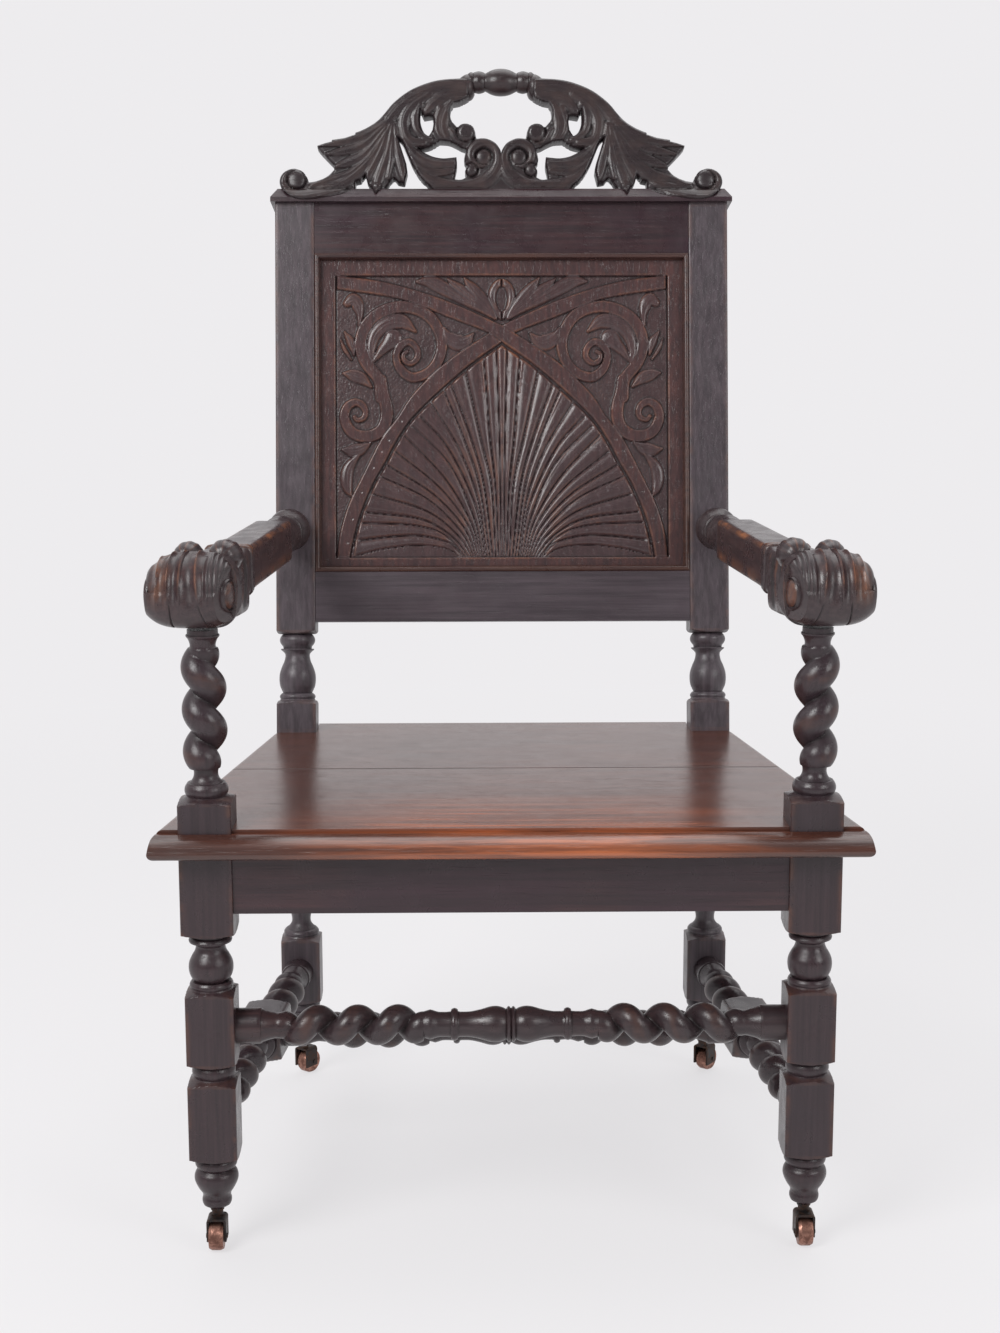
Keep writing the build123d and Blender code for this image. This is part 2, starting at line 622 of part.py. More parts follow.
# ------------------------------------------------------------------ back frame
STILE_INNER = REAR_POST_X - STILE_SECTION / 2
TOP_RAIL_BASE = STILE_LENGTH - TOP_RAIL_HEIGHT
OPENING_BASE = BOTTOM_RAIL_BASE + BOTTOM_RAIL_HEIGHT
STILE_FACE = -STILE_SECTION / 2
BACK_RAIL_FRONT = STILE_FACE + BACK_RAIL_SETBACK
PANEL_FRONT = STILE_FACE + PANEL_SETBACK
PANEL_BACK = PANEL_FRONT + PANEL_THICKNESS
GROUND_HALF = STILE_INNER - BEAD_WIDTH - PANEL_MARGIN_SIDE
GROUND_BASE = OPENING_BASE + BEAD_WIDTH + PANEL_MARGIN_FOOT
GROUND_TOP = TOP_RAIL_BASE - BEAD_WIDTH - PANEL_MARGIN_TOP


def back_rail_tenon(base: float, height: float, side: int, grow: float = 0) -> Solid:
    """Tenon of a back rail in the upright frame of the stiles."""
    y_mid = BACK_RAIL_FRONT + BACK_RAIL_THICKNESS / 2
    half = TENON_THICKNESS / 2 + grow
    tip = STILE_INNER + TENON_LENGTH + grow
    z0 = base + TENON_SHOULDER - grow
    z1 = base + height - TENON_SHOULDER + grow
    return block(*sorted((side * STILE_INNER, side * tip)),
                 y_mid - half, y_mid + half, z0, z1)


def panel_blank(grow: float = 0) -> Solid:
    """Panel board with its tongue all round; `grow` makes the groove for it."""
    edge = PANEL_TONGUE + grow
    return block(-STILE_INNER - edge, STILE_INNER + edge,
                 PANEL_FRONT - grow, PANEL_BACK + grow,
                 OPENING_BASE - edge, TOP_RAIL_BASE + edge)


def back_rail(base: float, height: float) -> Solid:
    """Top or bottom rail of the back, grooved for the panel."""
    rail = block(-STILE_INNER, STILE_INNER, BACK_RAIL_FRONT,
                 BACK_RAIL_FRONT + BACK_RAIL_THICKNESS, base, base + height)
    whole = fused(rail, back_rail_tenon(base, height, -1),
                  back_rail_tenon(base, height, 1))
    return lean_back(cut(whole, panel_blank(FIT)))


def flat(edges: list) -> Face:
    """Face in the XZ plane from edges, in order."""
    return Face(Wire(edges))


def chain(*runs) -> list:
    """Edges through runs of (x, z) points: two points a line, more a spline."""
    edges = []
    for run in runs:
        points = [(x, 0, z) for x, z in run]
        if len(points) == 2:
            edges.append(Line(*points))
        elif len(points) == 3:
            edges.append(ThreePointArc(*points))
        else:
            edges.append(Spline(*points))
    return edges


def relief(edges: list, proud: float) -> Solid:
    """Raised form of an outline in XZ, on the panel's sunk ground."""
    base = PANEL_FRONT + GROUND_DEPTH
    return Pos(0, base - proud, 0) * Solid.extrude(flat(edges), Vector(0, proud, 0))


def on_ground(across: float, up: float) -> tuple[float, float]:
    """(x, z) at shares of the sunk ground's half-width and height."""
    return across * GROUND_HALF, GROUND_BASE + up * (GROUND_TOP - GROUND_BASE)


def strap() -> Solid:
    """Raised band from the upper left corner, over the crown, to the right foot."""
    upper = [(-1.02, 1.006), (-0.36, 0.918), (0.33, 0.694), (0.79, 0.354),
             (0.995, -0.01)]
    lower = [(0.92, -0.01), (0.70, 0.34), (0.19, 0.69), (-0.34, 0.856),
             (-1.02, 0.955)]
    upper = [on_ground(*share) for share in upper]
    lower = [on_ground(*share) for share in lower]
    edges = chain(upper, [upper[-1], lower[0]], lower, [lower[-1], upper[0]])
    return relief(edges, GROUND_DEPTH)


def scroll_ring(across: float, up: float, radius: float) -> Solid:
    """Raised ring of a scroll on the panel's ground."""
    proud = GROUND_DEPTH - 1
    disc = Solid.make_cylinder(radius, proud).cut(
        Solid.make_cylinder(radius - SCROLL_BAND, proud))
    x, z = on_ground(across, up)
    return Pos(x, PANEL_FRONT + GROUND_DEPTH, z) * Rot(90, 0, 0) * disc


def fan() -> Solid:
    """Shell under the straps: spreads from the foot's middle to the arch."""
    outline = [(-0.955, 0.02), (-0.745, 0.345), (-0.45, 0.58), (0, 0.80)]
    left = [on_ground(*share) for share in outline]
    right = [(-x, z) for x, z in reversed(left)]
    sole = [on_ground(0.955, 0.02), on_ground(0.6, 0.045), on_ground(0.22, -0.01)]
    other = [(-x, z) for x, z in reversed(sole)]
    edges = chain(left, right, sole, [sole[-1], other[0]], other)
    return relief(edges, FAN_PROUD)


def panel_carving() -> list:
    """Main raised forms: crossing straps, fan, and two scrolls on each side."""
    one_side = [strap(), scroll_ring(-0.6, 0.772, SCROLL_R),
                scroll_ring(-0.835, 0.494, SMALL_SCROLL_R)]
    return [fan(), *one_side, *[form.mirror(Plane.YZ) for form in one_side]]


def back_panel() -> Solid:
    """Panel with a plain margin round a sunk ground and its raised carving."""
    ground = block(-GROUND_HALF, GROUND_HALF, PANEL_FRONT,
                   PANEL_FRONT + GROUND_DEPTH, GROUND_BASE, GROUND_TOP)
    return lean_back(fused(cut(panel_blank(), ground), *panel_carving()))


def bead_run(length: float) -> Solid:
    """Mitred bead moulding along X, its outer edge on Z = 0, face towards -Y."""
    depth = PANEL_FRONT - STILE_FACE - 0.5
    half = length / 2
    profile = Wire([
        Line((-half, 0, 0), (-half, -depth, 0)),
        ThreePointArc((-half, -depth, 0), (-half, -depth - 1.6, BEAD_WIDTH * 0.4),
                      (-half, -depth * 0.6, BEAD_WIDTH * 0.75)),
        Line((-half, -depth * 0.6, BEAD_WIDTH * 0.75), (-half, -1.5, BEAD_WIDTH)),
        Line((-half, -1.5, BEAD_WIDTH), (-half, 0, BEAD_WIDTH)),
        Line((-half, 0, BEAD_WIDTH), (-half, 0, 0)),
    ])
    bar = Solid.extrude(Face(profile), Vector(length, 0, 0))
    far = BEAD_WIDTH + 5
    tools = []
    for side in (-1, 1):
        tip = side * half
        plan = Polyline((tip, 0, 0), (tip + side * far, 0, 0),
                        (tip + side * far, 0, far), (tip - side * far, 0, far),
                        close=True)
        wedge = Pos(0, -2 * depth, 0) * Face(Wire(plan.edges()))
        tools.append(Solid.extrude(wedge, Vector(0, 4 * depth, 0)))
    return cut(bar, *tools)


def panel_bead(where: str) -> Solid:
    """One of the four bead mouldings that frame the panel."""
    width = 2 * STILE_INNER
    height = TOP_RAIL_BASE - OPENING_BASE
    middle = (TOP_RAIL_BASE + OPENING_BASE) / 2
    places = {
        "bottom": (width, Pos(0, PANEL_FRONT, OPENING_BASE)),
        "top": (width, Pos(0, PANEL_FRONT, TOP_RAIL_BASE) * Rot(0, 180, 0)),
        "left": (height, Pos(-STILE_INNER, PANEL_FRONT, middle) * Rot(0, 90, 0)),
        "right": (height, Pos(STILE_INNER, PANEL_FRONT, middle) * Rot(0, -90, 0)),
    }
    length, place = places[where]
    return lean_back(place * bead_run(length))


# ----------------------------------------------------------------------- crest
def crest_cap() -> Solid:
    """Moulded cap over the stiles and top rail, bevelled up to the cresting."""
    edge = 5.5
    bevel = 8.5
    front = STILE_FACE - CAP_FRONT_OVERHANG
    back = STILE_SECTION / 2 + CAP_BACK_OVERHANG
    base = STILE_LENGTH
    low = block(-CAP_HALF_WIDTH, CAP_HALF_WIDTH, front, back, base, base + edge)
    corners_low = [(-CAP_HALF_WIDTH, front), (CAP_HALF_WIDTH, front),
                   (CAP_HALF_WIDTH, back), (-CAP_HALF_WIDTH, back)]
    inner = CAP_HALF_WIDTH - bevel
    corners_high = [(-inner, front + bevel), (inner, front + bevel),
                    (inner, back), (-inner, back)]
    rings = []
    for corners, z in ((corners_low, base + edge), (corners_high, base + CAP_HEIGHT)):
        ring = Polyline(*[(x, y, z) for x, y in corners], close=True)
        rings.append(Wire(ring.edges()))
    return lean_back(fused(low, Solid.make_loft(rings, ruled=True)))


CREST_ACROSS = CAP_HALF_WIDTH / CREST_DRAWN_HALF
CREST_UP = CREST_HEIGHT / CREST_DRAWN_HEIGHT


def crest_chain(*runs) -> list:
    """Edges of the cresting from runs of points as drawn."""
    return chain(*[[(x * CREST_ACROSS, z * CREST_UP) for x, z in run] for run in runs])


def crest_half_face() -> Face:
    """Left half of the cresting's front outline, base on Z = 0."""
    tip = (-230.8, 52.8)
    notch = (-209.7, 22.2)
    outline = crest_chain(
        [(0, 0), (-262, 0)],
        [(-262, 0), (-276.5, 13), (-259.5, 28.8)],
        [(-259.5, 28.8), (-246.5, 21), (-240.3, 8.8)],
        [(-240.3, 8.8), (-224, 11.2), notch],
        [notch, (-216.7, 38.8)],
        [(-216.7, 38.8), tip],
        [tip, (-211.7, 58.6), (-195.7, 63)],
        [(-195.7, 63), (-181.6, 70.7), (-161.8, 80.9), (-136.3, 106.5),
         (-110.7, 125.6), (-80, 136.3), (-40, 139.5)],
        [(-40, 139.5), (-40, 115.3)],
        [(-40, 115.3), (-50, 108.8), (-59.2, 107.7)],
        [(-59.2, 107.7), (-63.5, 93), (-55.4, 77.1)],
        [(-55.4, 77.1), (-43.9, 82.4), (-32.2, 70.7)],
        [(-32.2, 70.7), (-31.1, 63.7)],
        [(-31.1, 63.7), (-8, 56), (0, 45.2)],
        [(0, 45.2), (0, 0)],
    )
    return flat(outline)


def crest_windows() -> list:
    """Openings cut through the left half of the cresting."""
    beside_stem = crest_chain(
        [(-144.6, 0), (-137, 9)],
        [(-137, 9), (-133.7, 14.5)],
        [(-133.7, 14.5), (-121, 7.5)],
        [(-121, 7.5), (-117.8, 31.2)],
        [(-117.8, 31.2), (-129.2, 64.3)],
        [(-129.2, 64.3), (-110.2, 27.3), (-86, 0)],
        [(-86, 0), (-144.6, 0)],
    )
    behind_curl = crest_chain(
        [(-103.8, 51.6), (-86, 41.3), (-70, 39)],
        [(-70, 39), (-56, 40)],
        [(-56, 40), (-58.5, 12.6)],
        [(-58.5, 12.6), (-42.6, 15.8)],
        [(-42.6, 15.8), (-44, 23.4), (-42.2, 28)],
        [(-42.2, 28), (-45.9, 40), (-44, 50)],
        [(-44, 50), (-50.3, 52.2)],
        [(-50.3, 52.2), (-60, 57), (-77, 60.4)],
        [(-77, 60.4), (-92, 52), (-103.8, 51.6)],
    )
    in_curl = crest_chain(
        [(-101.3, 101.3), (-96.8, 90.5)],
        [(-96.8, 90.5), (-86, 92.3)],
        [(-86, 92.3), (-85.5, 78), (-91.1, 66.2)],
        [(-91.1, 66.2), (-99, 76), (-101.3, 101.3)],
    )
    under_leaf = crest_chain(
        [(-182.3, 0), (-182.3, 9.4)],
        [(-182.3, 9.4), (-175.9, 10.6)],
        [(-175.9, 10.6), (-170.1, 18.4)],
        [(-170.1, 18.4), (-161.8, 8.8)],
        [(-161.8, 8.8), (-161.8, 0)],
        [(-161.8, 0), (-182.3, 0)],
    )
    return [flat(edges) for edges in (beside_stem, behind_curl, in_curl, under_leaf)]


def crest_bobbin() -> Solid:
    """Turned-looking grip that joins both halves at the top, along X."""
    half = Turning(0, BOBBIN_R, CREST_ACROSS)
    half.swell(11.4, 14.5, 2.2).swell(13.4, 10, -1.0).swell(12.4, 13, 2.0)
    half.run(11.0, 4)
    height = BOBBIN_Z - STILE_LENGTH - CAP_HEIGHT
    placed = Pos(0, 0, height) * Rot(0, 90, 0) * half.solid()
    return fused(placed, placed.mirror(Plane.YZ))


def cresting() -> Solid:
    """Pierced and carved cresting: one board, alike on both sides."""
    thick = Vector(0, CREST_THICKNESS, 0)
    half = Solid.extrude(crest_half_face(), thick)
    windows = [Solid.extrude(face, thick) for face in crest_windows()]
    half = cut(half, *windows)
    bosses = []
    for x, z, radius, proud in ((-22.1, 40.0, 21.0, 3.0), (-43.9, 70.7, 10.5, 2.5),
                                (-259.5, 14.0, 13.0, 3.0)):
        boss = Pos(x * CREST_ACROSS, 0, z * CREST_UP) * Rot(90, 0, 0) \
            * Solid.make_cylinder(radius * min(CREST_ACROSS, CREST_UP), proud)
        bosses.append(boss)
    half = fused(half, *bosses)
    whole = fused(half, half.mirror(Plane.YZ))
    grip = Pos(0, CREST_THICKNESS / 2, 0) * crest_bobbin()
    placed = Pos(0, CREST_DEPTH_FRONT, STILE_LENGTH + CAP_HEIGHT) * fused(whole, grip)
    return lean_back(placed)


# ------------------------------------------------------------------------ arms
def arm_frame() -> Location:
    """Left arm's own frame: X towards the back along the arm, Z up."""
    back_y = raked(STILE_FACE, (ARM_AXIS_BACK_Z - SEAT_HEIGHT))[0]
    dx = FRONT_POST_X - REAR_POST_X
    dy = back_y - FRONT_POST_Y
    rise = ARM_AXIS_BACK_Z - ARM_AXIS_FRONT_Z
    heading = degrees(atan2(dy, dx))
    pitch = degrees(atan2(rise, hypot(dx, dy)))
    return Pos(-FRONT_POST_X, FRONT_POST_Y, ARM_AXIS_FRONT_Z) * Rot(
        0, 0, heading) * Rot(0, -pitch, 0)


ARM_LENGTH = hypot(FRONT_POST_X - REAR_POST_X,
                   raked(STILE_FACE, ARM_AXIS_BACK_Z - SEAT_HEIGHT)[0] - FRONT_POST_Y)


def arm_grip() -> list:
    """Scrolled hand grip: barrel-shaped knuckle, neck, eyes and the two ears."""
    barrel = Turning(-GRIP_HALF_WIDTH, 22)
    barrel.swell(GRIP_R, 26, 4).run(GRIP_R, 2 * GRIP_HALF_WIDTH - 52).swell(22, 26, 4)
    knuckle = Rot(90, 0, 0) * barrel.solid()
    half = ARM_HEIGHT / 2
    side = Wire([
        Line((0, 0, GRIP_R - 6), (60, 0, half - 3)),
        Line((60, 0, half - 3), (ARM_BAR_START, 0, half)),
        Line((ARM_BAR_START, 0, half), (ARM_BAR_START, 0, -half)),
        ThreePointArc((ARM_BAR_START, 0, -half), (80, 0, -half + 1),
                      (20, 0, -GRIP_R + 4)),
        Line((20, 0, -GRIP_R + 4), (0, 0, GRIP_R - 6)),
    ])
    neck_half = 27.0
    neck = Pos(0, -neck_half, 0) * Solid.extrude(Face(side), Vector(0, 2 * neck_half, 0))
    ears = []
    for across in (-1, 1):
        bun = Turning(-13, 9).run(15, 8).run(15, 10).run(9, 8)
        ears.append(Pos(70, across * 17, half + 1) * Rot(90, 0, 0) * bun.solid())
    eyes = Pos(0, GRIP_HALF_WIDTH + 3, -4) * Rot(90, 0, 0) * Solid.make_cylinder(
        12, 2 * GRIP_HALF_WIDTH + 6)
    return [knuckle, neck, *ears, eyes]


def arm() -> Solid:
    """Left arm: scrolled grip, square bar and turned end tenoned to the stile."""
    half_w, half_h = ARM_WIDTH / 2, ARM_HEIGHT / 2
    bar = block(ARM_BAR_START - 1, ARM_BAR_END, -half_w, half_w, -half_h, half_h)
    shoulder = Turning(ARM_BAR_START - 1, half_w * 1.6)
    shoulder.run(half_w * 1.6, ARM_BAR_END - ARM_BAR_START - 5).run(RING_R - 2, 6)
    bar = bar & (Rot(0, 90, 0) * shoulder.solid())
    end = Turning(ARM_BAR_END - 1, RING_R - 3)
    end.bead(10, 2.5).step(NECK_R + 1).swell(BALL_R, 30, 1)
    end.swell(NECK_R, 38, 4).run(NECK_R, 12).run(RING_R - 3, 5).bead(14, 3)
    end.run(RING_R - 3, ARM_LENGTH + 16 - end.height)
    end = Rot(0, 90, 0) * end.solid()
    whole = arm_frame() * fused(*arm_grip(), bar, end)
    far = 2 * FRONT_POST_X
    behind = block(-far, 0, STILE_FACE, STILE_FACE + far, 0, STILE_LENGTH)
    below = block(-far, 0, -far, FRONT_POST_Y + ARM_BAR_START, 0, GRIP_SEAT_Z)
    trimmed = cut(whole, lean_back(behind), below)
    bored = cut(trimmed, Pos(-FRONT_POST_X, FRONT_POST_Y, GRIP_SEAT_Z - 1)
                * Solid.make_cylinder(ROUND_TENON_R + FIT,
                                      ROUND_TENON_LENGTH + 1 + FIT))
    return fused(bored, arm_tenon())


def arm_tenon(grow: float = 0) -> Solid:
    """Round tenon of the arm in its stile, square to the raked face."""
    height = (ARM_AXIS_BACK_Z - SEAT_HEIGHT) / cos(radians(BACK_RAKE))
    tenon = Pos(-REAR_POST_X, STILE_FACE - 1, height) * Rot(-90, 0, 0) \
        * Solid.make_cylinder(ROUND_TENON_R + grow, ROUND_TENON_LENGTH + 1 + grow)
    return lean_back(tenon)


# --------------------------------------------------------------------- castors
FORK_TOP = FOOT_BOTTOM - SOCKET_FLANGE - SWIVEL_GAP
FORK_INNER = WHEEL_WIDTH / 2 + SIDE_PLAY
FORK_CROWN_Z = 2 * WHEEL_R + 2.5


def castor_socket() -> Solid:
    """Flanged iron socket driven up into the foot."""
    flange = Pos(0, 0, FOOT_BOTTOM - SOCKET_FLANGE) * Solid.make_cylinder(
        SOCKET_FLANGE_R, SOCKET_FLANGE)
    tube = Pos(0, 0, FOOT_BOTTOM) * Solid.make_cylinder(SOCKET_R, SOCKET_DEPTH)
    bore = Pos(0, 0, FOOT_BOTTOM - SOCKET_FLANGE) * Solid.make_cylinder(
        STEM_R + RUNNING_CLEARANCE, SOCKET_FLANGE + SOCKET_DEPTH - 3)
    return cut(fused(flange, tube), bore)


def castor_fork() -> Solid:
    """Swivelling fork: stem, crown and two cheeks, the wheel trailing to -Y."""
    outer = FORK_INNER + FORK_PLATE
    cheek_half = 5.5
    drop = WHEEL_R - 5.0
    profile = Wire([
        Line((-outer, 0, drop), (-outer, 0, FORK_CROWN_Z - 2)),
        ThreePointArc((-outer, 0, FORK_CROWN_Z - 2),
                      (-outer + 1.6, 0, FORK_CROWN_Z + 1.6),
                      (-outer + 5, 0, FORK_CROWN_Z + FORK_PLATE)),
        Line((-outer + 5, 0, FORK_CROWN_Z + FORK_PLATE),
             (outer - 5, 0, FORK_CROWN_Z + FORK_PLATE)),
        ThreePointArc((outer - 5, 0, FORK_CROWN_Z + FORK_PLATE),
                      (outer - 1.6, 0, FORK_CROWN_Z + 1.6),
                      (outer, 0, FORK_CROWN_Z - 2)),
        Line((outer, 0, FORK_CROWN_Z - 2), (outer, 0, drop)),
        Line((outer, 0, drop), (FORK_INNER, 0, drop)),
        Line((FORK_INNER, 0, drop), (FORK_INNER, 0, FORK_CROWN_Z)),
        Line((FORK_INNER, 0, FORK_CROWN_Z), (-FORK_INNER, 0, FORK_CROWN_Z)),
        Line((-FORK_INNER, 0, FORK_CROWN_Z), (-FORK_INNER, 0, drop)),
        Line((-FORK_INNER, 0, drop), (-outer, 0, drop)),
    ])
    strap = Pos(0, -CASTOR_TRAIL - cheek_half, 0) * Solid.extrude(
        Face(profile), Vector(0, CASTOR_TRAIL + 2 * cheek_half, 0))
    stem = Turning(FORK_CROWN_Z + FORK_PLATE - 0.5, 6.0)
    stem.run(6.0, FORK_TOP - stem.height).step(STEM_R)
    stem.run(STEM_R, SOCKET_DEPTH - 5)
    holes = Pos(-outer - 1, -CASTOR_TRAIL, WHEEL_R) * Rot(0, 90, 0) \
        * Solid.make_cylinder(AXLE_R, 2 * outer + 2)
    return cut(fused(strap, stem.round_solid()), holes)


def castor_axle() -> Solid:
    """Pin through both cheeks and the wheel, riveted over just outside them."""
    reach = FORK_INNER + FORK_PLATE + 1
    pin = Pos(0, 0, -reach) * Solid.make_cylinder(AXLE_R, 2 * reach)
    return Pos(0, -CASTOR_TRAIL, WHEEL_R) * Rot(0, 90, 0) * pin


def castor_wheel() -> Solid:
    """Wheel with a slightly rounded tread, bored for its axle."""
    half = WHEEL_WIDTH / 2
    tread = 3.0
    rim = Turning(-half, WHEEL_R - tread / 2)
    rim.run(WHEEL_R, tread).run(WHEEL_R, WHEEL_WIDTH - 2 * tread)
    rim.run(WHEEL_R - tread / 2, tread)
    bore = Pos(0, 0, -half - 1) * Solid.make_cylinder(
        AXLE_R + RUNNING_CLEARANCE, WHEEL_WIDTH + 2)
    wheel = cut(rim.round_solid(), bore)
    return Pos(0, -CASTOR_TRAIL, WHEEL_R) * Rot(0, 90, 0) * wheel


CORNERS = {
    "front_left": (-FRONT_POST_X, FRONT_POST_Y, 0.0),
    "front_right": (FRONT_POST_X, FRONT_POST_Y, 0.0),
    "rear_left": (-REAR_POST_X, REAR_POST_Y, REAR_CASTOR_TURN),
    "rear_right": (REAR_POST_X, REAR_POST_Y, REAR_CASTOR_TURN),
}


# ---------------------------------------------------------------- whole chair
def left_front_post() -> Solid:
    """Left front post in place, with its mortises and bores."""
    post = Pos(-FRONT_POST_X, FRONT_POST_Y, 0) * front_post()
    stretcher_bore = cross_peg(FRONT_STRETCHER_HALF, FRONT_POST_Y,
                               FRONT_STRETCHER_Z, FIT)
    return cut(post, cross_tenon(-FRONT_RAIL_END, FRONT_RAIL_Y, -1, FIT),
               side_tenon(SIDE_RAIL_FRONT_Y, -SIDE_RAIL_FRONT_X, -1, FIT),
               stretcher_bore, side_peg(-1, FIT))


def left_rear_post() -> Solid:
    """Left rear post in place: upright leg, raked stile, mortises and groove."""
    leg = Pos(-REAR_POST_X, REAR_POST_Y, 0) * rear_leg()
    stile = lean_back(Pos(-REAR_POST_X, 0, 0) * raked_stile())
    below_seat = block(-2 * REAR_POST_X, 0, 0, 2 * REAR_POST_Y, 0, SEAT_HEIGHT)
    post = fused(leg, cut(stile, below_seat))
    return cut(post, Pos(-REAR_POST_X, REAR_POST_Y, 0) * castor_socket_bore(),
               cross_tenon(-REAR_RAIL_END, REAR_RAIL_Y, -1, FIT),
               side_tenon(SIDE_RAIL_BACK_Y, -SIDE_RAIL_BACK_X, 1, FIT),
               side_peg(1, FIT), lean_back(panel_blank(FIT)),
               lean_back(back_rail_tenon(BOTTOM_RAIL_BASE, BOTTOM_RAIL_HEIGHT, -1,
                                         FIT)),
               lean_back(back_rail_tenon(TOP_RAIL_BASE, TOP_RAIL_HEIGHT, -1, FIT)),
               arm_tenon(FIT))


def build_frame() -> dict:
    """Every fixed piece of the chair, by node name."""
    nodes = {}
    pairs = {
        "front_post": left_front_post(),
        "rear_post": left_rear_post(),
        "seat_rail": side_rail(),
        "side_stretcher": side_stretcher(),
        "arm": arm(),
    }
    for name, piece in pairs.items():
        nodes[f"{name}_left"] = piece
        nodes[f"{name}_right"] = mirrored(piece, 1)
    nodes["seat_rail_front"] = straight_rail(FRONT_RAIL_END, FRONT_RAIL_Y)
    nodes["seat_rail_rear"] = straight_rail(REAR_RAIL_END, REAR_RAIL_Y)
    nodes["seat_board_front"] = seat_board(front=True)
    nodes["seat_board_rear"] = seat_board(front=False)
    place = (FRONT_STRETCHER_HALF, FRONT_POST_Y, FRONT_STRETCHER_Z)
    nodes["front_stretcher"] = pegged(cross_rung(*place), *place)
    nodes["middle_stretcher"] = middle_stretcher()
    nodes["back_rail_bottom"] = back_rail(BOTTOM_RAIL_BASE, BOTTOM_RAIL_HEIGHT)
    nodes["back_rail_top"] = back_rail(TOP_RAIL_BASE, TOP_RAIL_HEIGHT)
    nodes["back_panel"] = back_panel()
    for where in ("top", "bottom", "left", "right"):
        nodes[f"panel_bead_{where}"] = panel_bead(where)
    nodes["crest_cap"] = crest_cap()
    nodes["cresting"] = cresting()
    return nodes


def build_castors() -> dict:
    """Socket, fork, axle and wheel under each foot."""
    nodes = {}
    makers = {"socket": castor_socket, "fork": castor_fork, "axle": castor_axle,
              "wheel": castor_wheel}
    for corner, (x, y, turn) in CORNERS.items():
        for name, make in makers.items():
            nodes[f"castor_{name}_{corner}"] = Pos(x, y, 0) * Rot(0, 0, turn) * make()
    return nodes


def main():
    """Build every node and write it to its own STEP file."""
    os.makedirs("parts", exist_ok=True)
    nodes = {**build_frame(), **build_castors()}
    for name, shape in nodes.items():
        placed = Pos(0, -ORIGIN_Y, 0) * shape
        export_step(placed, f"parts/{name}.step")


main()
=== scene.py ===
"""Joined oak armchair: carved back panel, pierced cresting, barley-twist supports.

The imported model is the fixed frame. Turned, twisted and carved members are made
here in finer form and stand for their solids; boards, rails and castors keep
their solids and are dressed. Sizes in the classes are millimetres, laid out from
the front faces of the front posts (Y = 0) and from the floor (Z = 0).
"""

import logging
import math
from dataclasses import dataclass, field
from enum import Enum

import bpy
import numpy as np
from mathutils import Matrix, Vector

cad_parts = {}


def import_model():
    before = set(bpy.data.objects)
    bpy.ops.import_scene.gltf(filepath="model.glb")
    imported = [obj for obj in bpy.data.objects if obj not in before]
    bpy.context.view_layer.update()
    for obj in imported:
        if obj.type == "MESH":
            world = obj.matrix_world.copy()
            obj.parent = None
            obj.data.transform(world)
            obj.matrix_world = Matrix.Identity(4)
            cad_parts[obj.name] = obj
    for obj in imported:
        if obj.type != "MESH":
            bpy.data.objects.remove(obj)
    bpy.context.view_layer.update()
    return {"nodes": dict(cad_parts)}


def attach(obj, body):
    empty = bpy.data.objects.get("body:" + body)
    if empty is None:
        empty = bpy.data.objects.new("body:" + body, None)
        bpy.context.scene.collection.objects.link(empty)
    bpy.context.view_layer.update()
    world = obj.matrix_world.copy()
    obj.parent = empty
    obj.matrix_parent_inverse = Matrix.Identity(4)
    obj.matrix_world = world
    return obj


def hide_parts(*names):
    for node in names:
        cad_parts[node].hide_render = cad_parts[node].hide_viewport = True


LOG = logging.getLogger("chair")
MM = 0.001
ORIGIN_Y = 320.973         # front post faces to the middle of the chair, along Y
SEAT_TOP = 455.0
FRONT_X = 308.5            # axes of the front posts, from the middle
FRONT_Y = 27.0
DEPTH = 495.0              # front to rear posts, axis to axis
INSET = 50.0               # how much nearer the middle the rear posts stand
REAR_AXIS_Y = FRONT_Y + DEPTH
REAR_HALF = 24.5           # half the square of a rear post
RAKE = math.radians(9.92)
SPLAY = math.atan2(INSET, DEPTH)
OBLIQUE = 1 / math.cos(SPLAY)
RING = 22.3                # radius of the turning next to a square block
SIDES = 80                 # points round a turned member
CRISP = 38.0               # edges over this many degrees stay sharp

Array = np.ndarray
Feed = bpy.types.NodeSocket | float | tuple


class Side(Enum):
    """Side of the chair, as the sign of X."""

    LEFT = -1
    RIGHT = 1

    @property
    def word(self) -> str:
        """Lower-case name used in piece names."""
        return self.name.lower()


class Grain(Enum):
    """Direction of the wood's fibres, as features per metre along X, Y and Z."""

    ACROSS = (7.0, 210.0, 210.0)
    DEPTH = (210.0, 7.0, 210.0)
    UPRIGHT = (210.0, 210.0, 7.0)


# ------------------------------------------------------------ maths and meshes
def smooth(value: Array, low: float, high: float) -> Array:
    """Smooth ramp from 0 at `low` to 1 at `high`.

    Args:
        value: Numbers of any shape.
        low: Where the ramp leaves 0.
        high: Where it reaches 1.

    Returns:
        The ramp, in the shape of `value`.
    """
    t = np.clip((np.asarray(value, float) - low) / (high - low), 0, 1)
    return t * t * (3 - 2 * t)


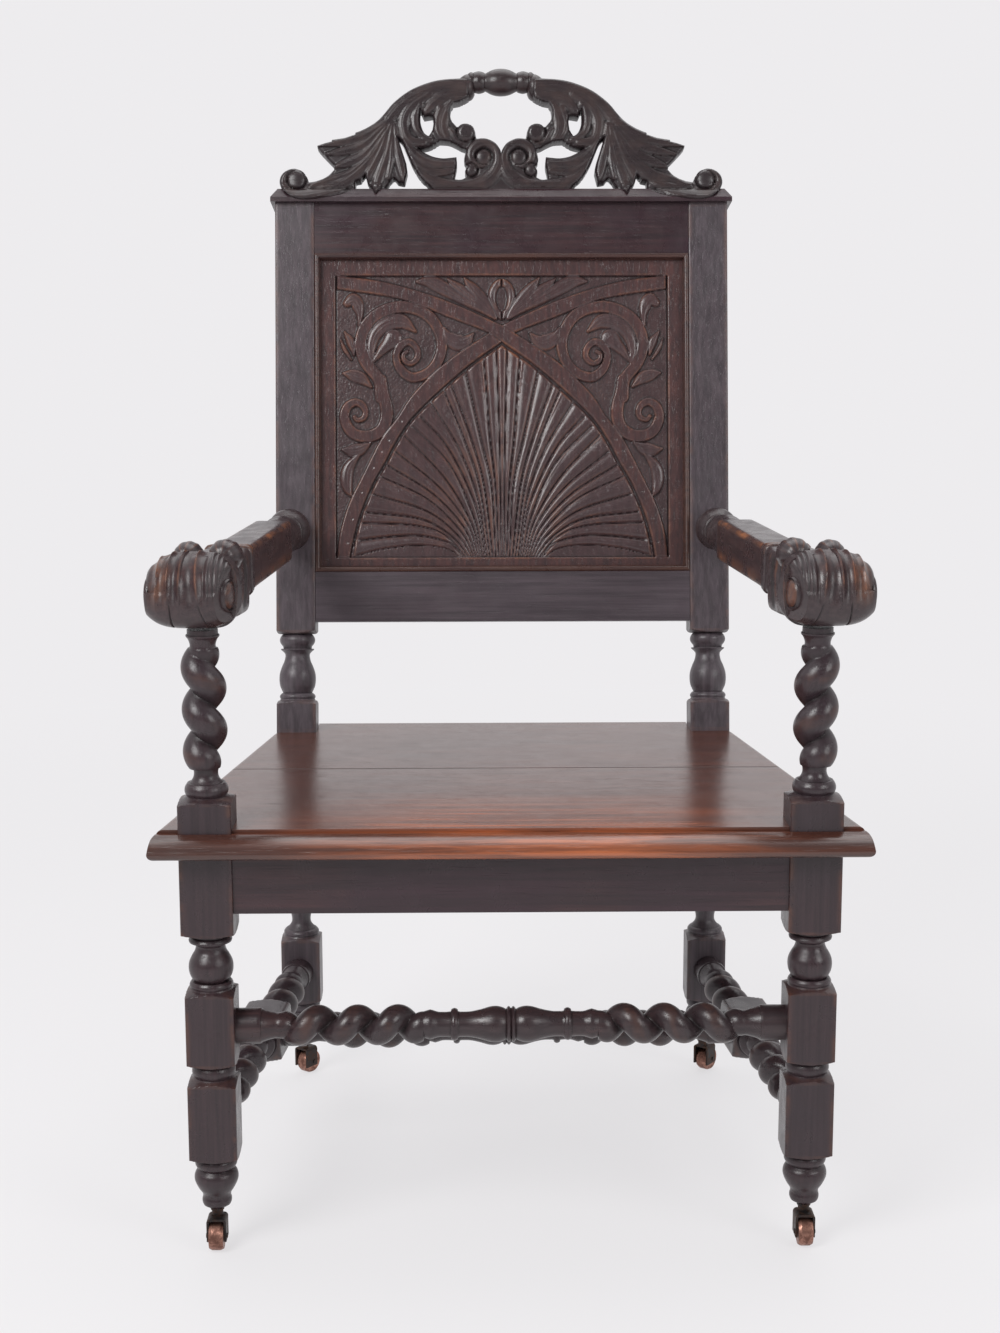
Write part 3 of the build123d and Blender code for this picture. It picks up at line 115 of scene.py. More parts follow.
def flowing(points: list | tuple, step: float) -> Array:
    """Smooth line through points (Catmull-Rom), about `step` apart.

    Args:
        points: Rows of coordinates, and of anything that goes with them.
        step: Distance between the points that come back.

    Returns:
        Array of the line's points.
    """
    p = np.asarray(points, float)
    if len(p) < 3:
        n = max(2, int(np.hypot(*(p[1] - p[0])[:2]) / step) + 1)
        return p[0] + (p[1] - p[0]) * np.linspace(0, 1, n)[:, None]
    p = np.vstack([2 * p[0] - p[1], p, 2 * p[-1] - p[-2]])
    out = []
    for a, b, c, d in zip(p, p[1:], p[2:], p[3:]):
        n = max(2, int(np.hypot(*(c - b)[:2]) / step) + 1)
        t = np.linspace(0, 1, n, endpoint=False)[:, None]
        out.append(0.5 * (2 * b + (c - a) * t + (2 * a - 5 * b + 4 * c - d) * t ** 2
                          + (3 * b - a - 3 * c + d) * t ** 3))
    return np.vstack([*out, p[-2][None]])


def to_line(x: Array, h: Array, line: Array) -> tuple[Array, Array, Array, Array]:
    """Distance of points to a broken line.

    Args:
        x: Points' first coordinate.
        h: Points' second coordinate.
        line: Corners of the line, with any further columns to carry along.

    Returns:
        Distance, the line's carried columns, and the nearest point's x and h.
    """
    best = np.full(x.shape, 1e9)
    near_x, near_h = np.zeros(x.shape), np.zeros(x.shape)
    carried = np.zeros(x.shape + (line.shape[1] - 2,))
    for a, b in zip(line, line[1:]):
        run = b[:2] - a[:2]
        length = max(float(run @ run), 1e-9)
        t = np.clip(((x - a[0]) * run[0] + (h - a[1]) * run[1]) / length, 0, 1)
        px, ph = a[0] + t * run[0], a[1] + t * run[1]
        d = np.hypot(x - px, h - ph)
        closer = d < best
        best = np.where(closer, d, best)
        near_x, near_h = np.where(closer, px, near_x), np.where(closer, ph, near_h)
        if carried.shape[-1]:
            value = a[2:] + t[..., None] * (b[2:] - a[2:])
            carried = np.where(closer[..., None], value, carried)
    return best, carried, near_x, near_h


def inside(x: Array, h: Array, ring: Array) -> Array:
    """Whether points lie in a closed outline (even-odd rule).

    Args:
        x: Points' first coordinate.
        h: Points' second coordinate.
        ring: Corners of the outline.

    Returns:
        True for the points inside.
    """
    result = np.zeros(x.shape, bool)
    for a, b in zip(ring, np.roll(ring, -1, axis=0)):
        crosses = (a[1] > h) != (b[1] > h)
        if abs(b[1] - a[1]) > 1e-12:
            at = a[0] + (h - a[1]) * (b[0] - a[0]) / (b[1] - a[1])
            result ^= crosses & (x < at)
    return result


def dome(away: Array, reach: Array | float = 1.0) -> Array:
    """Half-round height: 1 where `away` is 0, and 0 from `reach` on."""
    return np.sqrt(np.clip(1 - (away / reach) ** 2, 0, 1))


def bell(away: Array, width: float) -> Array:
    """Smooth bump: 1 where `away` is 0, about a third at `width`."""
    return np.exp(-(away / width) ** 2)


def curvature(height: Array) -> Array:
    """Bend of a sheet of heights: positive in its dips, negative on its ridges."""
    slope = np.gradient(height)
    return np.gradient(slope[0], axis=0) + np.gradient(slope[1], axis=1)


def circle(count: int) -> Array:
    """Angles of `count` points, evenly round a circle."""
    return np.linspace(0, 2 * math.pi, count, endpoint=False)


def sheet(rows: int, cols: int, around: bool = False) -> Array:
    """Quads of a sheet of points.

    Args:
        rows: Rows of points.
        cols: Points in a row.
        around: Close the columns into a tube.

    Returns:
        Four indices of points for each quad.
    """
    width = cols if around else cols - 1
    r, c = np.divmod(np.arange((rows - 1) * width), width)
    here, after = r * cols + c, r * cols + (c + 1) % cols
    return np.stack([here, after, after + cols, here + cols], 1)


def into_scene(name: str, data: bpy.types.ID) -> bpy.types.Object:
    """Make an object of a mesh, a lamp or a camera, in the scene.

    Args:
        name: Name of the object.
        data: What it shows.

    Returns:
        The new object.
    """
    made = bpy.data.objects.new(name, data)
    bpy.context.scene.collection.objects.link(made)
    return made


@dataclass(frozen=True)
class Place:
    """A local frame of the chair: its origin and axes, in millimetres."""

    origin: tuple[float, float, float]
    x: tuple[float, float, float] = (1, 0, 0)
    y: tuple[float, float, float] = (0, 1, 0)
    z: tuple[float, float, float] = (0, 0, 1)

    def world(self, points: Array) -> Array:
        """Local points in millimetres to the shared frame in metres.

        Args:
            points: Local points, in an array whose last axis is X, Y and Z.

        Returns:
            The points in the shared frame.
        """
        out = points @ np.array([self.x, self.y, self.z], float) + np.array(self.origin)
        out[..., 1] -= ORIGIN_Y
        return out * MM


BACK = Place((0, REAR_AXIS_Y, SEAT_TOP), y=(0, math.cos(RAKE), -math.sin(RAKE)),
             z=(0, math.sin(RAKE), math.cos(RAKE)))


class Skin:
    """Vertices, faces and colour marks of one piece, gathered before it is made."""

    def __init__(self) -> None:
        """Start empty."""
        self.points: list[Array] = []
        self.faces: list[list[int]] = []
        self.marks: dict[str, list[Array]] = {"wear": [], "soot": [], "warm": []}
        self.count = 0

    def add(self, points: Array, faces: list, **marks: Array | float) -> None:
        """Add vertices in metres with their faces.

        Args:
            points: Vertices.
            faces: Lists of indices into `points`.
            **marks: `wear` (finish rubbed through, on the panel's ridges also
            painted highlight), `soot` (dark wax and painted shade in hollows,
            creases and grooves) and `warm` (redder tone), each 0 to 1, in all or per
            vertex.
        """
        self.points.append(points.reshape(-1, 3))
        total = len(self.points[-1])
        self.faces += [[self.count + i for i in face] for face in faces]
        for name, values in self.marks.items():
            value = np.asarray(marks.get(name, 0.0), float).reshape(-1)
            values.append(np.clip(np.broadcast_to(value, (total,)), 0, 1))
        self.count += total

    def grid(self, points: Array, around: bool = False, caps: bool = False,
             **marks: Array | float) -> None:
        """Add a sheet of quads from a (rows, columns, 3) array.

        Args:
            points: Vertices in metres.
            around: Close the columns into a tube.
            caps: Close the tube's two ends.
            **marks: As for `add`.
        """
        rows, cols = points.shape[:2]
        faces = sheet(rows, cols, around).tolist()
        if caps:
            faces.append(list(range(cols))[::-1])
            faces.append([(rows - 1) * cols + k for k in range(cols)])
        self.add(points, faces, **marks)

    def mirrored(self) -> "Skin":
        """The same piece on the other side of the chair.

        Returns:
            A new skin, with the same marks.
        """
        twin = Skin()
        twin.points = [p * np.array([-1, 1, 1]) for p in self.points]
        twin.faces = [face[::-1] for face in self.faces]
        twin.marks, twin.count = self.marks, self.count
        return twin

    def doubled(self) -> "Skin":
        """Add the mirrored twin of a half to it.

        Returns:
            Itself.
        """
        twin = self.mirrored()
        self.add(twin.points[0], twin.faces,
                 **{name: values[0] for name, values in twin.marks.items()})
        return self

    def piece(self, name: str, finish: "Finish", slot: str, stands_for: list[str],
              sharp: float = CRISP) -> None:
        """Make the Blender object, dress it and tie it to the chair.

        Args:
            name: Piece name.
            finish: Finish of its wood.
            slot: Material slot of the record; not used.
            stands_for: CAD nodes that it replaces.
            sharp: Edges over this angle stay crisp, in degrees.
        """
        mesh = bpy.data.meshes.new(name)
        mesh.from_pydata(np.vstack(self.points).tolist(), [], self.faces)
        for mark, values in self.marks.items():
            data = mesh.attributes.new(mark, "FLOAT", "POINT")
            data.data.foreach_set("value", np.concatenate(values).astype(np.float32))
        mesh.polygons.foreach_set("use_smooth", np.ones(len(mesh.polygons), bool))
        mesh.set_sharp_from_angle(angle=math.radians(sharp))
        mesh.materials.append(finish.material())
        made = into_scene(name, mesh)
        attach(made, "chair")
        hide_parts(*stands_for)
        LOG.info("%s: %d vertices, stands for %s", name, self.count, stands_for)

    def pair(self, stem: str, form: str, finish: "Finish", sharp: float = CRISP) -> None:
        """Make a left piece, and its mirrored twin on the right.

        Args:
            stem: Name of the CAD nodes up to the side.
            form: Last word of the pieces' names.
            finish: Finish of their wood.
            sharp: As for `piece`.
        """
        for side in Side:
            skin = self if side is Side.LEFT else self.mirrored()
            node = f"{stem}_{side.word}"
            skin.piece(f"{node}_{form}", finish, "oak", [node], sharp)


# --------------------------------------------------------------------- finishes
class NodeTree:
    """Short calls for building the nodes of a material or of the world."""

    def __init__(self, owner: bpy.types.Material | bpy.types.World,
                 shader: str = "Principled BSDF", coords: str = "Object") -> None:
        """Start with the nodes that a new material or world has.

        Args:
            owner: The new material or world.
            shader: Name of its shader.
            coords: Which coordinates the patterns follow.
        """
        owner.use_nodes = True
        self.tree = owner.node_tree
        self.shader = self.tree.nodes[shader]
        self.coords = self.add("ShaderNodeTexCoord").outputs[coords]

    def feed(self, node: bpy.types.Node, key: int | str, value: Feed) -> None:
        """Give an input of a node what comes from a socket, or a number.

        Args:
            node: The node.
            key: Its input, by name or number.
            value: A socket, a number or a colour.
        """
        if isinstance(value, bpy.types.NodeSocket):
            self.tree.links.new(value, node.inputs[key])
        else:
            node.inputs[key].default_value = value

    def add(self, kind: str, inputs: dict[int | str, Feed] | None = None,
            **settings: str | bool) -> bpy.types.Node:
        """Add a node.

        Args:
            kind: Its type.
            inputs: What its inputs get, by name or number.
            **settings: Its properties.

        Returns:
            The node.
        """
        node = self.tree.nodes.new(kind)
        for key, value in settings.items():
            setattr(node, key, value)
        for key, value in (inputs or {}).items():
            self.feed(node, key, value)
        return node

    def noise(self, scale: tuple, detail: float, rough: float,
              warp: float = 0.0) -> bpy.types.NodeSocket:
        """Noise stretched along the axes.

        Args:
            scale: Features per metre along X, Y and Z.
            detail: Octaves.
            rough: Strength of the finer octaves.
            warp: Distortion.

        Returns:
            Its value, about 0.5.
        """
        spread = self.add("ShaderNodeMapping", {0: self.coords, 3: scale})
        return self.add("ShaderNodeTexNoise", {
            "Vector": spread.outputs[0], "Scale": 1.0, "Detail": detail,
            "Roughness": rough, "Distortion": warp}).outputs[0]

    def ramp(self, value: Feed, low: float, high: float, first: float = 0.0,
             last: float = 1.0) -> bpy.types.NodeSocket:
        """Clamped smooth change between two values.

        Args:
            value: What changes.
            low: Value where the change starts.
            high: Value where it ends.
            first: Result up to `low`.
            last: Result from `high` on.

        Returns:
            The result.
        """
        return self.add("ShaderNodeMapRange", {
            0: value, 1: low, 2: high, 3: first, 4: last},
            interpolation_type="SMOOTHSTEP").outputs[0]

    def maths(self, how: str, one: Feed, two: Feed = 0.0) -> bpy.types.NodeSocket:
        """One arithmetic step."""
        return self.add("ShaderNodeMath", {0: one, 1: two}, operation=how).outputs[0]

    def mix(self, share: Feed, one: Feed, two: Feed) -> bpy.types.NodeSocket:
        """Blend of two colours."""
        return self.add("ShaderNodeMix", {0: share, 6: one, 7: two},
                        data_type="RGBA").outputs[2]

    def axis(self, number: int) -> bpy.types.NodeSocket:
        """Place along X (0), Y (1) or Z (2)."""
        return self.add("ShaderNodeSeparateXYZ", {0: self.coords}).outputs[number]

    def mark(self, name: str) -> bpy.types.NodeSocket:
        """A colour mark of the mesh, 0 where the mesh has none."""
        return self.add("ShaderNodeAttribute", attribute_name=name).outputs["Fac"]

    def bump(self, height: Feed, distance: float, strength: float) -> None:
        """Feed the shader's normal from a height in metres."""
        self.wire("Normal", self.add("ShaderNodeBump", {
            "Height": height, "Distance": distance, "Strength": strength}).outputs[0])

    def wire(self, socket: str, value: Feed) -> None:
        """Feed a socket of the shader."""
        self.feed(self.shader, socket, value)

    def show(self, share: Feed, one: Feed, two: Feed, output: str) -> None:
        """Send a blend of two shaders to the output node of that name."""
        blend = self.add("ShaderNodeMixShader", {0: share, 1: one, 2: two})
        self.feed(self.tree.nodes[output], 0, blend.outputs[0])


def rgb(red: float, green: float, blue: float) -> tuple[float, float, float, float]:
    """Linear colour with full alpha."""
    return red, green, blue, 1.0


# dark of old wax: the joint between the seat boards, and dark wax with painted shade in
# hollows
WAX_AND_SHADE_DARK = rgb(0.006, 0.0045, 0.0045)


@dataclass(frozen=True)
class Coat:
    """What covers a piece: one material, made when it is first asked for."""

    name: str

    def material(self) -> bpy.types.Material:
        """The coat's material.

        Returns:
            The material, new or made before.
        """
        title = f"{self.name}_finish"
        found = bpy.data.materials.get(title)
        if not found:
            found = bpy.data.materials.new(title)
            self.paint(NodeTree(found))
        return found

    def paint(self, n: NodeTree) -> None:
        """Build the nodes of the material."""
        raise NotImplementedError


@dataclass(frozen=True)
class Finish(Coat):
    """Waxed, stained oak: two tones of grain, a redder tone and bare worn wood."""

    grain: Grain
    dark: tuple = rgb(0.021, 0.0125, 0.0150)
    mid: tuple = rgb(0.042, 0.0275, 0.0335)
    red: tuple = rgb(0.072, 0.031, 0.029)
    bare: tuple = rgb(0.34, 0.125, 0.050)
    redness: float = 0.22
    gloss: float = 0.30
    flecks: float = 0.35
    streaks: float = 0.5
    mottle: float = 0.16       # unevenness of the gloss
    shine: float = 0.5
    joint: float | None = None   # line between two boards, along Y in metres
    seat_fade: bool = False

    def paint(self, n: NodeTree) -> None:
        """Build the nodes of the finish.

        Args:
            n: Nodes of its material.
        """
        # patterns: grain, pores, clouds of redness and patches of wear
        streak = n.noise(self.grain.value, 7, 0.62, 0.3)
        pores = n.noise(tuple(3.1 * s for s in self.grain.value), 3, 0.6)
        cloud = n.noise((5.0, 5.0, 5.0), 4, 0.6, 0.6)
        patch = n.noise((34.0, 34.0, 34.0), 5, 0.65, 0.5)
        # stained wood, with redder clouds and the marks of the mesh
        lean = self.streaks / 2
        grain = n.ramp(streak, 0.30, 0.72, 0.5 - lean, 0.5 + lean)
        tone = n.mix(grain, self.dark, self.mid)
        warmth = n.maths("MULTIPLY", n.ramp(cloud, 0.42, 0.66), self.redness)
        warm = n.maths("MULTIPLY", n.mark("warm"), n.ramp(patch, 0.2, 0.75, 0.35, 1.0))
        tone = n.mix(n.maths("MAXIMUM", warmth, warm), tone,
                     n.mix(n.ramp(streak, 0.25, 0.8), self.dark, self.red))
        # worn through to bare wood (on the panel's ridges partly painted highlight),
        # dark in pores, and dark wax with painted shade in hollows
        rub_and_highlight = n.maths("MULTIPLY", n.mark("wear"), n.ramp(patch, 0.40, 0.64, 0.10, 1.0))
        if self.seat_fade:
            rub_and_highlight = n.maths("MAXIMUM", rub_and_highlight, self.polish(n, streak))
            # the moulded front edge of the seat darker, least at its middle
            tone = n.mix(self.edge_darkening(n), tone, self.dark)
        tone = n.mix(rub_and_highlight, tone, self.bare)
        tone = n.mix(n.ramp(pores, 0.60, 0.72, 0.0, self.flecks), tone, self.dark)
        # painted shade, with dark wax: the mesh's mark darkens hollows, creases and
        # grooves
        tone = n.mix(n.ramp(n.mark("soot"), 0.0, 1.0, 0.0, 0.82), tone, WAX_AND_SHADE_DARK)
        rough = n.maths("MULTIPLY", n.mark("soot"), 0.22)
        if self.joint is not None:
            away = n.maths("ABSOLUTE", n.maths("SUBTRACT", n.axis(1), self.joint))
            tone = n.mix(n.ramp(away, 0.0005, 0.0020, 0.95, 0.0), tone, WAX_AND_SHADE_DARK)
            rough = n.maths("ADD", rough, n.ramp(away, 0.0005, 0.0020, 0.6, 0.0))
        n.wire("Base Color", tone)
        matt = n.ramp(patch, 0.25, 0.75, self.gloss - 0.4 * self.mottle,
                      self.gloss + 0.6 * self.mottle)
        n.wire("Roughness", n.maths("ADD", matt, rough))
        n.wire("Specular IOR Level", self.shine)
        height = n.maths("ADD", n.maths("MULTIPLY", streak, 0.6),
                         n.ramp(pores, 0.58, 0.70, 0.0, -0.5))
        n.bump(height, 0.0003, 0.55)

    @staticmethod
    def edge_darkening(n: NodeTree) -> bpy.types.NodeSocket:
        """Dark share of the seat's moulded front edge, least at its middle.

        Args:
            n: The nodes of the material.

        Returns:
            Share of the darker tone.
        """
        # the edge lies from 340 to 318 mm before the middle of the chair
        split = n.add("ShaderNodeSeparateXYZ", {0: n.coords})
        edge = n.ramp(split.outputs[1], -0.328, -0.318, 0.75, 0.0)
        ends = n.ramp(n.maths("ABSOLUTE", split.outputs[0]), 0.05, 0.25, 0.25, 1.0)
        return n.maths("MULTIPLY", edge, ends)

    @staticmethod
    def polish(n: NodeTree, streak: bpy.types.NodeSocket) -> bpy.types.NodeSocket:
        """Rubbed share of the seat: most at the front edge, least at the back.

        Args:
            n: The nodes of the material.
            streak: Its grain.

        Returns:
            Share of bare wood.
        """
        split = n.add("ShaderNodeSeparateXYZ", {0: n.coords})
        front = n.ramp(split.outputs[1], -0.340, -0.12, 1.0, 0.05)
        middle = n.ramp(n.maths("ABSOLUTE", n.maths("SUBTRACT", split.outputs[0], 0.02)),
                        0.06, 0.30, 1.0, 0.06)
        long = n.noise((5.0, 60.0, 60.0), 5, 0.6, 0.4)
        uneven = n.maths("MULTIPLY", n.ramp(long, 0.36, 0.62, 0.30, 1.0),
                         n.ramp(streak, 0.32, 0.60, 0.40, 1.0))
        return n.maths("MULTIPLY", n.maths("MULTIPLY", front, middle), uneven)


OAK_POST = Finish("oak_post", Grain.UPRIGHT)
OAK_RAIL = Finish("oak_rail", Grain.ACROSS, mid=rgb(0.043, 0.020, 0.028), redness=0.5)
OAK_RUNG = Finish("oak_rung", Grain.ACROSS, mid=rgb(0.046, 0.033, 0.036), redness=0.5)
OAK_SIDE = Finish("oak_side", Grain.DEPTH)
OAK_ARM = Finish("oak_arm", Grain.DEPTH, mid=rgb(0.060, 0.041, 0.043), gloss=0.29,
                 shine=0.55)
OAK_CREST = Finish("oak_crest", Grain.ACROSS, dark=rgb(0.018, 0.012, 0.013),
                   mid=rgb(0.034, 0.024, 0.027), redness=0.12, gloss=0.30)
OAK_STILE = Finish("oak_stile", Grain.UPRIGHT, dark=rgb(0.034, 0.027, 0.031),
                   mid=rgb(0.096, 0.075, 0.087), redness=0.10, gloss=0.36, streaks=0.6)
OAK_BOTTOM = Finish("oak_bottom", Grain.ACROSS, dark=rgb(0.034, 0.026, 0.031),
                    mid=rgb(0.102, 0.078, 0.092), redness=0.10, gloss=0.36, streaks=0.5)
OAK_PANEL = Finish("oak_panel", Grain.UPRIGHT, dark=rgb(0.040, 0.025, 0.026),
                   mid=rgb(0.084, 0.053, 0.057), red=rgb(0.115, 0.043, 0.036),
                   redness=0.25, gloss=0.24, flecks=0.2, streaks=0.35)
OAK_BEAD = Finish("oak_bead", Grain.ACROSS, mid=rgb(0.11, 0.05, 0.035), redness=0.6)
OAK_SEAT = Finish("oak_seat", Grain.ACROSS, dark=rgb(0.036, 0.014, 0.011),
                  mid=rgb(0.115, 0.040, 0.026), red=rgb(0.22, 0.060, 0.030),
                  bare=rgb(0.38, 0.105, 0.038), gloss=0.22, seat_fade=True,
                  joint=-0.0332, mottle=0.05, shine=0.80)


@dataclass(frozen=True)
class Metal(Coat):
    """Old metal: a base colour, a stain in patches and scratches in the gloss."""

    base: tuple
    stain: tuple
    rough: float
    metallic: float = 1.0

    def paint(self, n: NodeTree) -> None:
        """Build the nodes of the metal.

        Args:
            n: Nodes of its material.
        """
        patch = n.noise((160.0, 160.0, 160.0), 6, 0.65, 0.8)
        fine = n.noise((900.0, 900.0, 900.0), 3, 0.6)
        n.wire("Base Color", n.mix(n.ramp(patch, 0.38, 0.64), self.base, self.stain))
        n.wire("Roughness", n.ramp(n.maths("ADD", patch, n.maths("MULTIPLY", fine, 0.3)),
                                   0.4, 0.9, self.rough - 0.1, self.rough + 0.2))
        n.wire("Metallic", self.metallic)
        n.bump(fine, 0.0002, 0.4)


IRON = Metal("iron", rgb(0.035, 0.031, 0.031), rgb(0.075, 0.042, 0.030), 0.48, 0.8)
BRASS = Metal("castor_brass", rgb(0.36, 0.19, 0.145), rgb(0.17, 0.085, 0.065), 0.40)


# ------------------------------------------------------------- turned members
def around() -> Array:
    """Angles round a turned member, closer together at a square's corners.

    Returns:
        The angles, in radians.
    """
    t = (np.arange(SIDES // 4) + 0.5) / (SIDES // 8) - 1
    quarter = math.pi / 4 * (1 + np.sign(t) * np.abs(t) ** 1.45)
    return np.concatenate([quarter + k * math.pi / 2 for k in range(4)])


THETA = around()


@dataclass(frozen=True)
class Strand:
    """One barley-twist strand: a ball carried along a helix."""

    ball: float = 16.4
    throw: float = 6.0
    pitch: float = 43.0
    hand: int = -1
    start: float = 150.0   # degrees

    def rows(self, base: float, length: float, neck: float) -> list[tuple[float, Array]]:
        """Cross-sections of the strand between two plain necks.

        Args:
            base: Height where it starts.
            length: Length of the twist.
            neck: Radius of the necks that it runs into.

        Returns:
            Pairs of height and radius round the member.
        """
        z = np.arange(0, length + 0.01, 0.6)
        fade = self.pitch * 0.27
        ease = smooth(z, 1, fade) * smooth(length - z, 1, fade)
        throw, ball = self.throw * ease, neck + (self.ball - neck) * np.sqrt(ease)
        turn = math.radians(self.start) + self.hand * 2 * math.pi * z / self.pitch
        rows = []
        for height in np.arange(0.5, length, 1.25):
            at = np.abs(height - z) < ball
            apart = THETA[:, None] - turn[None, at]
            across, towards = throw[at] * np.sin(apart), throw[at] * np.cos(apart)
            left = ball[at] ** 2 - (height - z[at]) ** 2 - across ** 2
            reach = towards + np.sqrt(np.maximum(left, 0))
            radius = np.where(left > 0, reach, 0).max(axis=1)
            rows.append((base + height, np.maximum(radius, 4.0)))
        return rows


class Lathe:
    """Turned, square and twisted lengths of one member, built along its axis."""

    def __init__(self, height: float, radius: float) -> None:
        """Start at a height with a round of that radius.

        Args:
            height: Where it starts along its axis.
            radius: Radius there.
        """
        self.height, self.radius = height, radius
        self.heights: list[float] = []
        self.radii: list[Array] = []
        self.wear: list[Array] = []
        self.soot: list[Array] = []
        self.put(0.0)

    def put(self, rise: float, radius: Array | float | None = None,
            wear: Array | float = 0.0, soot: Array | float = 0.0) -> None:
        """Add one cross-section `rise` above the last.

        Args:
            rise: Rise of the section above the last.
            radius: Radius, or None for the last one.
            wear: Rubbed-through finish, 0 to 1.
            soot: Dark wax and painted shade in hollows, 0 to 1.
        """
        self.height += rise
        value = self.radius if radius is None else radius
        self.heights.append(self.height)
        for ring, rings in ((value, self.radii), (wear, self.wear), (soot, self.soot)):
            rings.append(np.broadcast_to(np.asarray(ring, float), (SIDES,)))

    def step(self, radius: float) -> "Lathe":
        """Sharp step in or out.

        Args:
            radius: Radius after the step.

        Returns:
            Itself.
        """
        # painted shade with dark wax at the foot of a step, darker where it steps in
        deeper = 0.5 if radius < self.radius else 0.15
        self.radius = radius
        self.put(0.15, soot=deeper)
        return self

    def run(self, radius: float, rise: float) -> "Lathe":
        """Straight cone or cylinder.

        Args:
            radius: Radius at its end.
            rise: Its length.

        Returns:
            Itself.
        """
        start, count = self.radius, max(1, int(rise / 3))
        for k in range(1, count + 1):
            self.radius = start + (radius - start) * k / count
            self.put(rise / count)
        return self

    def swell(self, radius: float, rise: float, bulge: float) -> "Lathe":
        """Arc that bulges outwards, or inwards where `bulge` is negative.

        Args:
            radius: Radius at its end.
            rise: Its length.
            bulge: Height of the arc over its chord.

        Returns:
            Itself.
        """
        start, count = self.radius, max(5, int(abs(rise) / 1.6))
        chord = math.hypot(radius - start, rise)
        nr, nz = rise / chord, -(radius - start) / chord
        base = self.height
        for k in range(1, count + 1):
            t = k / count
            out = bulge * 4 * t * (1 - t)
            self.radius = start + (radius - start) * t + nr * out
            # painted shade with dark wax at the inner end of an inward arc
            self.put(base + rise * t + nz * out - self.height,
                     soot=0.35 if t > 0.9 and radius < start else 0.0)
        self.radius = radius
        return self

    def flow(self, *points: tuple[float, float]) -> "Lathe":
        """Smooth profile through (rise from here, radius) points.

        Args:
            *points: Rise from here and radius of each point.

        Returns:
            Itself.
        """
        base = self.height
        line = flowing([(0.0, self.radius), *points], 1.4)
        for rise, radius in line[1:]:
            # painted shade with dark wax where the profile runs inwards
            hollow = smooth(self.radius - radius, 0.25, 0.9)
            self.radius = radius
            self.put(base + rise - self.height, soot=0.3 * hollow)
        return self

    def bead(self, rise: float, bulge: float) -> "Lathe":
        """Ring that starts and ends at one radius."""
        return self.swell(self.radius, rise, bulge)

    def block(self, half: float, top: float, low: bool = True, high: bool = True,
              flower: bool = False, shoulder: float = 4.7) -> "Lathe":
        """Square length whose corners are rounded off where the turning starts.

        Args:
            half: Half of the square.
            top: Height where it ends.
            low: Whether the lower end has turned shoulders.
            high: Whether the upper end has them.
            flower: Whether its front face has the small cut flower.
            shoulder: How far the turning runs into the square's corners.

        Returns:
            Itself.
        """
        base, length = self.height, top - self.height
        slope = shoulder / (half * 2 ** 0.5 - RING)
        power = 26.0           # the higher, the sharper the square's corners
        c, s = np.abs(np.cos(THETA)), np.abs(np.sin(THETA))
        square = half / (c ** power + s ** power) ** (1 / power)
        edge = smooth(square, half * 1.25, half * 1.36)
        deep = shoulder * 1.5
        ups = np.concatenate([np.linspace(0, deep, 9),
                              np.arange(deep + 2, length - deep - 1, 2.2),
                              length - np.linspace(deep, 0, 9)])
        for up in ups:
            room = min(up / slope + RING if low else math.inf,
                       (length - up) / slope + RING if high else math.inf)
            radius = np.minimum(square, room)
            if flower:
                radius = radius - self.flower(radius, up - length / 2)
            near = min(up, length - up)
            # painted shade with dark wax at the block's lower end, where it meets the
            # turning
            self.put(base + up + 0.001 - self.height, radius,
                     wear=0.14 * edge * (near > 3) + 0.08 * (near < 5),
                     soot=0.5 * np.exp(-up / 1.5) * low)
        self.radius = RING
        return self

    @staticmethod
    def flower(radius: Array, up: float) -> Array:
        """Depth of the shallow cut flower at one height of the front face.

        Args:
            radius: Radius round the member.
            up: Height from the flower's middle.

        Returns:
            Depth, round the member.
        """
        front = np.sin(THETA) < -0.71
        across = radius * np.cos(THETA)
        far = np.hypot(across, up)
        turn = np.arctan2(up, across)
        petal = np.abs(np.cos(3 * turn))
        cut = smooth(petal, 0.55, 1.0) * smooth(far, 2, 5) * smooth(-far, -15, -9)
        ring = bell(far - 5.0, 1.1)
        return front * (0.55 * cut + 0.35 * ring)

    def twist(self, strand: Strand, length: float, neck: float) -> "Lathe":
        """Barley twist between plain necks of radius `neck`.

        Args:
            strand: One of its strands.
            length: Its length.
            neck: Radius of the necks.

        Returns:
            Itself.
        """
        full = strand.ball + strand.throw
        thin = strand.ball - strand.throw
        self.radius = neck
        for height, radius in strand.rows(self.height, length, neck):
            # painted shade with dark wax in the grooves between the strands
            deep = 1 - smooth(radius, thin + 0.5, thin + 6.0)
            rub = 0.08 * smooth(radius, full - 2.0, full)
            self.put(height - self.height, radius, wear=rub, soot=0.6 * deep)
        self.put(0.5)
        return self

    def skin(self, place: Place, into: Skin | None = None, warm: float = 0.0) -> Skin:
        """The member's surface in place, closed at both ends.

        Args:
            place: Its frame, with the axis along Z.
            into: Skin to add it to, or None for a new one.
            warm: Redder tone, 0 to 1.

        Returns:
            The skin.
        """
        skin = into or Skin()
        radius = np.array(self.radii)
        height = np.array(self.heights)[:, None] + 0 * radius
        local = np.stack([radius * np.cos(THETA), radius * np.sin(THETA), height], -1)
        skin.grid(place.world(local), around=True, caps=True, wear=np.array(self.wear),
                  soot=np.array(self.soot), warm=warm)
        return skin


